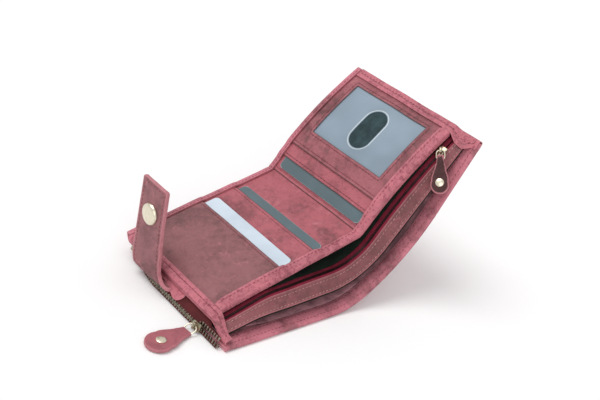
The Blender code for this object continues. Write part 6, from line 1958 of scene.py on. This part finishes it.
def make_strap():
    """The anchor patch and the strap that curls up out of it, sewn along its edges."""
    low_y = PATCH_CENTRE_Y - PATCH_LENGTH / 2.0 - PATCH_OPEN_SIDE_RUN
    high_y = PATCH_CENTRE_Y + PATCH_LENGTH / 2.0

    def patch_place(y, share):
        short = max(PATCH_ROUND - min(y - low_y, high_y - y), 0.0) / PATCH_ROUND
        reach = max(1.0 - short ** PATCH_BLUNTNESS, 0.0) ** (1.0 / PATCH_BLUNTNESS)
        start = FACE.beside(0.0, LEG_DEPTH + BINDING_LEATHER + LAYER_GAP) + xz(-BINDING_LEATHER, 0.0)
        free = 1.0 - ease((y - low_y) / PATCH_FREE_RUN)
        out = PATCH_REACH * mix(1.0, PATCH_OUT_SHARE, free) * share ** PATCH_BULGE * reach
        fall = PATCH_FALL * mix(PATCH_HELD_SHARE, 1.0, free)
        return with_y(start + xz(-out, -fall * share * reach), y)

    bend_ys = quarter(PATCH_ROUND, CORNER_STEPS)
    patch_ys = [low_y + y for y in bend_ys] + dense(low_y + PATCH_ROUND, high_y - PATCH_ROUND)[1:-1]
    patch_ys += [high_y - y for y in reversed(bend_ys)]
    patch_ys = [low_y + CLEARANCE / 3.0] + patch_ys[1:-1] + [high_y - CLEARANCE / 3.0]
    patch = laid("strap_anchor_patch", "binding", patch_place, patch_ys, PATCH_SHARES, PATCH_LEATHER,
                 even=False)
    ride(patch, "wallet", ("strap_anchor_patch",), "binding")
    length = STRAP_LINE.length
    corner = [length - inset for inset in reversed(quarter(STRAP_TIP_CORNER, CORNER_STEPS))]
    distances = dense(0.0, STRAP_ROOT_RUN + STRAP_CURL_RADIUS * 2.0, CURL_STEP)
    distances += dense(distances[-1], corner[0], END_STEP)[1:] + corner[1:]
    strap = laid("strap", "strap", strap_place, distances, stations(0.0, 1.0, 16), STRAP_THICKNESS,
                 bevel_share=0.28, sink=False)
    ends = (xz(STRAP_FACE_X, STRAP_HINGE_Z - STRAP_CURL_RADIUS, STRAP_CENTRE_Y),
            xz(STRAP_FACE_X, STRAP_BASE_Z + STRAP_CURL_RADIUS, STRAP_CENTRE_Y))
    bend(strap, ends, ("strap_root", "strap"))
    inset = STRAP_SEAM / STRAP_WIDTH
    far = length - STRAP_SEAM
    begin = STRAP_ROOT_RUN + STRAP_CURL_RADIUS
    corners = [(begin, inset), (far, inset), (far, 1.0 - inset), (begin, 1.0 - inset)]
    rows = [seam(f"strap_stitches_{index}", strap_place, line_uv(*ends_of_row), STRAP_THICKNESS / 2.0,
                 facing=STRAP_OUT)
            for index, ends_of_row in enumerate(zip(corners, corners[1:]))]
    bend(joined("strap_stitches", rows), ends, ())


def make_snap():
    """The domed cap and its socket on the strap, and the stud on the cover."""
    face = STRAP_THICKNESS / 2.0 + CLEARANCE / 3.0
    middle = xz(STRAP_FACE_X, STRAP_BASE_Z + SNAP_HEIGHT, STRAP_CENTRE_Y)
    middle.x -= STRAP_LEAN * SNAP_HEIGHT / STRAP_LENGTH
    cap = frame_of(middle + STRAP_OUT * face, Y_AXIS, STRAP_OUT)
    profile = [(0.0, SNAP_CAP_RISE)]
    for share in SNAP_CAP_SHARES:
        rise = mix(SNAP_RIM_RISE, SNAP_CAP_RISE, math.sqrt(1.0 - share * share))
        profile.append((share * SNAP_CAP_RADIUS, rise))
    profile += [(SNAP_CAP_RADIUS * share, SNAP_RIM_RISE * rise) for share, rise in SNAP_CAP_EDGE]
    ride(turned("snap_cap", "pale_gold", profile, cap, 48), "strap", ("snap_cap",), "pale_gold")
    socket = frame_of(middle - STRAP_OUT * face, -Y_AXIS, -STRAP_OUT)
    hollow = SNAP_SOCKET_RADIUS / 2.0
    rim = SNAP_SOCKET_DEPTH * 0.9
    profile = [(0.0, SNAP_SOCKET_DEPTH / 3.0), (hollow, SNAP_SOCKET_DEPTH / 3.0), (hollow, rim),
               (hollow * 1.1, SNAP_SOCKET_DEPTH), (SNAP_SOCKET_RADIUS * 0.75, SNAP_SOCKET_DEPTH),
               (SNAP_SOCKET_RADIUS * 0.85, rim * 0.6), (SNAP_SOCKET_RADIUS, rim * 0.45),
               (SNAP_SOCKET_RADIUS, 0.0), (0.0, 0.0)]
    ride(turned("snap_socket", "pale_gold", profile, socket, 40), "strap", ("snap_socket",), "pale_gold")
    s = 3.0 - SNAP_STUD_INSET / PANEL_RIGHT_LENGTH
    base = cover_surface(s, STRAP_CENTRE_Y, -(COVER_LEATHER / 2.0 + CLEARANCE))
    step = CLEARANCE / PANEL_RIGHT_LENGTH
    along = cover_surface(s + step, STRAP_CENTRE_Y) - cover_surface(s - step, STRAP_CENTRE_Y)
    sideways = cover_surface(s, STRAP_CENTRE_Y + CLEARANCE) - cover_surface(s, STRAP_CENTRE_Y - CLEARANCE)
    outward = along.cross(sideways).normalized()
    if outward.z > 0.0:
        outward = -outward
    stud_frame = frame_of(base + outward * 2.0 * LAYER_GAP, along, outward)
    knob = hollow * 0.9
    plate = SNAP_STUD_DEPTH / 4.0
    profile = [(0.0, SNAP_STUD_DEPTH), (knob * 0.8, SNAP_STUD_DEPTH), (knob, SNAP_STUD_DEPTH * 0.88),
               (knob, SNAP_STUD_DEPTH * 0.7), (knob * 0.85, plate * 1.3), (SNAP_SOCKET_RADIUS * 0.9, plate),
               (SNAP_SOCKET_RADIUS, plate * 0.6), (SNAP_SOCKET_RADIUS, -plate), (0.0, -plate)]
    ride(turned("snap_stud", "pale_gold", profile, stud_frame, 40), "right_half", ("snap_stud",), "pale_gold")


def make_stage():
    """White floor, soft studio light and the photograph's camera."""
    stage = bpy.context.scene.wallet_stage
    deselect()
    bpy.ops.mesh.primitive_plane_add(size=stage.floor_size, location=(0.0, 0.0, 0.0))
    floor = bpy.context.object
    floor.name = "floor"
    made, root, spot, shader = new_look("floor")
    uneven = spot.noise(*FLOOR_SHEEN)
    tint = uneven.blend(shaded(stage.floor_colour, 0.995), shaded(stage.floor_colour, 1.0))
    finish_look(root, shader, tint, 0.85 + uneven * 0.05, uneven, FLOOR_RELIEF, 0.0)
    floor.data.materials.append(made)

    world = bpy.data.worlds.new("studio")
    bpy.context.scene.world = world
    world.use_nodes = True
    root = Wire(world.node_tree)
    path = root.node("ShaderNodeLightPath")
    rays = path.socket.node.outputs
    sky = world.node_tree.nodes["Background"]
    seen = Wire(root.tree, rays["Is Camera Ray"]) * (1.0 - stage.sky_strength)
    strength = Wire(root.tree, rays["Is Glossy Ray"]) * stage.gloss_strength + seen + stage.sky_strength
    root.tree.links.new(strength.socket, sky.inputs["Strength"])
    sky.inputs["Color"].default_value = (1.0, 1.0, 1.0, 1.0)

    for name, place, power in (("key_light", stage.key_place, stage.key_power),
                               ("fill_light", stage.fill_place, stage.fill_power)):
        bpy.ops.object.light_add(type="SUN", location=place)
        light = bpy.context.object
        light.name = name
        light.data.energy = power
        light.data.angle = stage.light_angle
        light.rotation_euler = Vector(place).to_track_quat("Z", "Y").to_euler()

    bpy.ops.object.camera_add()
    camera = bpy.context.object
    camera.name = "camera"
    turn = Matrix((CAMERA_RIGHT, -CAMERA_DOWN, -CAMERA_AHEAD)).transposed().to_4x4()
    camera.matrix_world = Matrix.Translation(CAMERA_PLACE) @ turn
    camera.data.sensor_width = SENSOR_WIDTH
    camera.data.lens = stage.lens
    bpy.context.scene.camera = camera
    bpy.context.scene.view_settings.view_transform = "Standard"


def colour_property(name, description, default):
    return bpy.props.FloatVectorProperty(name=name, description=description, default=default, size=3,
                                         min=0.0, max=1.0, subtype="COLOR")


def length_property(name, description, default):
    return bpy.props.FloatProperty(name=name, description=description, default=default, min=0.0,
                                   subtype="DISTANCE", unit="LENGTH", precision=5)


def number_property(name, description, default):
    return bpy.props.FloatProperty(name=name, description=description, default=default, min=0.0)


def angle_property(name, description, degrees):
    return bpy.props.FloatProperty(name=name, description=description, default=math.radians(degrees),
                                   subtype="ANGLE", unit="ROTATION")


def place_property(name, description, default):
    return bpy.props.FloatVectorProperty(name=name, description=description, default=default, size=3,
                                         subtype="TRANSLATION", unit="LENGTH")


class WalletSizes(bpy.types.PropertyGroup):
    """Sizes of the details that the CAD part doesn't hold"""
    stitch_length: length_property("Stitch length", "Length of one visible stitch", 0.0021)
    stitch_width: length_property("Stitch width", "Width of the thread", 0.00042)
    stitch_pitch: length_property("Stitch pitch", "Distance from stitch to stitch", 0.0030)
    stitch_tilt: angle_property("Stitch tilt", "Slant of each stitch to its row", 7.0)
    wave_height: length_property("Wave height", "Height of the slow waves in the leather", 0.00035)
    wave_length: length_property("Wave length", "Length of the slow waves in the leather", 0.022)
    card_corner: length_property("Card corner", "Radius of a card's corners", 0.0030)


class WalletColours(bpy.types.PropertyGroup):
    """Colours of the leathers, cloths, metals and cards"""
    rose: colour_property("Rose leather", "Card strips and inner panel", (0.47, 0.130, 0.157))
    window: colour_property("Window leather", "Frame round the window", (0.385, 0.122, 0.143))
    dusk: colour_property("Dusky leather", "Big card pocket", (0.31, 0.125, 0.135))
    binding: colour_property("Binding leather", "Bindings and anchor patch", (0.59, 0.180, 0.222))
    strap: colour_property("Strap leather", "Strap", (0.33, 0.13, 0.145))
    divider: colour_property("Divider leather", "Strip beside the bill zip", (0.28, 0.095, 0.105))
    cover: colour_property("Cover leather", "Hem and outside of the cover", (0.60, 0.195, 0.245))
    suede: colour_property("Suede", "Inside of the cover and coin pocket", (0.58, 0.27, 0.31))
    wax_dark: colour_property("Dark wax", "Dark clouds in the leather", (0.115, 0.055, 0.055))
    wine: colour_property("Wine flecks", "Small dark red flecks", (0.235, 0.040, 0.070))
    scuff_pale: colour_property("Pale scuff", "Rubbed places and worn edges", (0.62, 0.235, 0.27))
    lining: colour_property("Lining", "Lining cloth", (0.014, 0.026, 0.019))
    crimson: colour_property("Crimson tape", "Zip tapes", (0.26, 0.024, 0.050))
    dark_teeth: colour_property("Dark teeth", "Bill zip teeth", (0.045, 0.022, 0.024))
    coin_teeth: colour_property("Coin teeth", "Teeth of the coin zip", (0.36, 0.33, 0.25))
    coin_tape: colour_property("Coin tape", "Tapes of the coin zip", (0.115, 0.022, 0.024))
    brass: colour_property("Antique brass", "Coin teeth and sliders", (0.52, 0.47, 0.34))
    pale_gold: colour_property("Pale gold", "Snap, rivets and loops", (0.80, 0.73, 0.58))
    pale_card: colour_property("Pale card", "Card in the big pocket", (0.60, 0.69, 0.78))
    gray_card: colour_property("Grey card", "The two grey cards", (0.105, 0.155, 0.175))
    card_core: colour_property("Card core", "Cut edge of a card", (0.62, 0.64, 0.65))
    # the film's pale slate colour is partly its milky tint and partly a painted sheen
    film: colour_property("Window film", "Milky film in the window", (0.255, 0.325, 0.395))
    # a painted highlight on the thumb slot's cut edge, paler than the film itself
    film_rim: colour_property("Slot rim", "Rim of the thumb slot", (0.62, 0.70, 0.74))
    slate: colour_property("Window backing", "Backing seen through the thumb slot", (0.040, 0.070, 0.078))
    coin_tab: colour_property("Coin tab", "Leather tab of the coin zip", (0.42, 0.125, 0.15))
    bill_tab: colour_property("Bill tab", "Leather tab of the bill zip", (0.052, 0.014, 0.015))
    # the thread is made dark enough to take in painted shade of the stitch holes
    thread: colour_property("Thread", "Thread of most seams", (0.33, 0.075, 0.10))
    thread_pale: colour_property("Pale thread", "Thread on the divider strip", (0.62, 0.35, 0.33))


class WalletStage(bpy.types.PropertyGroup):
    """Floor, light and lens"""
    floor_size: length_property("Floor size", "Side of the square floor", 6.0)
    floor_colour: colour_property("Floor colour", "Colour of the floor", (1.0, 1.0, 1.0))
    sky_strength: number_property("Sky strength", "Light from all around", 0.62)
    gloss_strength: number_property("Gloss strength", "More light in reflections", 0.15)
    key_power: number_property("Key strength", "Strength of the main light", 1.20)
    fill_power: number_property("Fill strength", "Strength of the second light", 0.45)
    light_angle: angle_property("Light angle", "How wide and soft the lights are", 38.0)
    key_place: place_property("Key place", "Where the main light comes from", (-0.35, 0.30, 1.0))
    fill_place: place_property("Fill place", "Where the second light comes from", (-0.8, -0.9, 0.7))
    lens: bpy.props.FloatProperty(name="Lens", description="Focal length of the camera", default=57.4,
                                  min=1.0, unit="CAMERA")


class WALLET_OT_materials(bpy.types.Operator):
    """Make the leathers, cloths, metals and plastics"""
    bl_idname = "wallet.materials"
    bl_label = "Materials"

    def execute(self, context):
        make_looks()
        return {"FINISHED"}


class WALLET_OT_cover(bpy.types.Operator):
    """Add the leather cover with its turned hem and edge"""
    bl_idname = "wallet.cover"
    bl_label = "Cover"

    def execute(self, context):
        make_cover()
        return {"FINISHED"}


class WALLET_OT_panel(bpy.types.Operator):
    """Add the card panel, its pockets and its window"""
    bl_idname = "wallet.panel"
    bl_label = "Card panel"

    def execute(self, context):
        make_panel()
        return {"FINISHED"}


class WALLET_OT_cards(bpy.types.Operator):
    """Add the three plain cards"""
    bl_idname = "wallet.cards"
    bl_label = "Cards"

    def execute(self, context):
        make_cards()
        return {"FINISHED"}


class WALLET_OT_bindings(bpy.types.Operator):
    """Add the bindings at the openings and round both ends"""
    bl_idname = "wallet.bindings"
    bl_label = "Bindings"

    def execute(self, context):
        make_edge_binding()
        make_end_bindings()
        return {"FINISHED"}


class WALLET_OT_linings(bpy.types.Operator):
    """Add the lining sheets"""
    bl_idname = "wallet.linings"
    bl_label = "Linings"

    def execute(self, context):
        make_linings()
        return {"FINISHED"}


class WALLET_OT_bill_zip(bpy.types.Operator):
    """Add the bill zip's tapes, teeth and divider strip"""
    bl_idname = "wallet.bill_zip"
    bl_label = "Bill zip"

    def execute(self, context):
        make_bill_zip()
        return {"FINISHED"}


class WALLET_OT_coin_zip(bpy.types.Operator):
    """Add the coin zip's tapes, teeth and stop"""
    bl_idname = "wallet.coin_zip"
    bl_label = "Coin zip"

    def execute(self, context):
        make_coin_zip()
        return {"FINISHED"}


class WALLET_OT_pulls(bpy.types.Operator):
    """Add both sliders with their loops, leather tabs and rivets"""
    bl_idname = "wallet.pulls"
    bl_label = "Sliders and pulls"

    def execute(self, context):
        make_coin_pull()
        make_bill_pull()
        return {"FINISHED"}


class WALLET_OT_strap(bpy.types.Operator):
    """Add the anchor patch and the strap"""
    bl_idname = "wallet.strap"
    bl_label = "Strap"

    def execute(self, context):
        make_strap()
        return {"FINISHED"}


class WALLET_OT_snap(bpy.types.Operator):
    """Add the snap's cap, socket and stud"""
    bl_idname = "wallet.snap"
    bl_label = "Snap"

    def execute(self, context):
        make_snap()
        return {"FINISHED"}


class WALLET_OT_stage(bpy.types.Operator):
    """Add the floor, the lights and the camera"""
    bl_idname = "wallet.stage"
    bl_label = "Stage"

    def execute(self, context):
        make_stage()
        return {"FINISHED"}


OPERATORS = (WALLET_OT_stage, WALLET_OT_materials, WALLET_OT_cover, WALLET_OT_panel, WALLET_OT_cards,
             WALLET_OT_bindings, WALLET_OT_linings, WALLET_OT_bill_zip, WALLET_OT_coin_zip,
             WALLET_OT_pulls, WALLET_OT_strap, WALLET_OT_snap)


class WALLET_PT_panel(bpy.types.Panel):
    """Buttons for the wallet's pieces"""
    bl_idname = "WALLET_PT_panel"
    bl_label = "Wallet"
    bl_space_type = "VIEW_3D"
    bl_region_type = "UI"
    bl_category = "Wallet"

    def draw(self, context):
        for operator in OPERATORS:
            self.layout.operator(operator.bl_idname)


GROUPS = (("wallet_sizes", WalletSizes), ("wallet_colours", WalletColours), ("wallet_stage", WalletStage))


def register():
    for name, group in GROUPS:
        bpy.utils.register_class(group)
        setattr(bpy.types.Scene, name, bpy.props.PointerProperty(type=group))
    for item in (*OPERATORS, WALLET_PT_panel):
        bpy.utils.register_class(item)


def unregister():
    for item in reversed((*OPERATORS, WALLET_PT_panel)):
        bpy.utils.unregister_class(item)
    for name, group in reversed(GROUPS):
        delattr(bpy.types.Scene, name)
        bpy.utils.unregister_class(group)


def main():
    register()
    for operator in OPERATORS:
        group, action = operator.bl_idname.split(".")
        getattr(getattr(bpy.ops, group), action)()


if __name__ == "__main__":
    main()
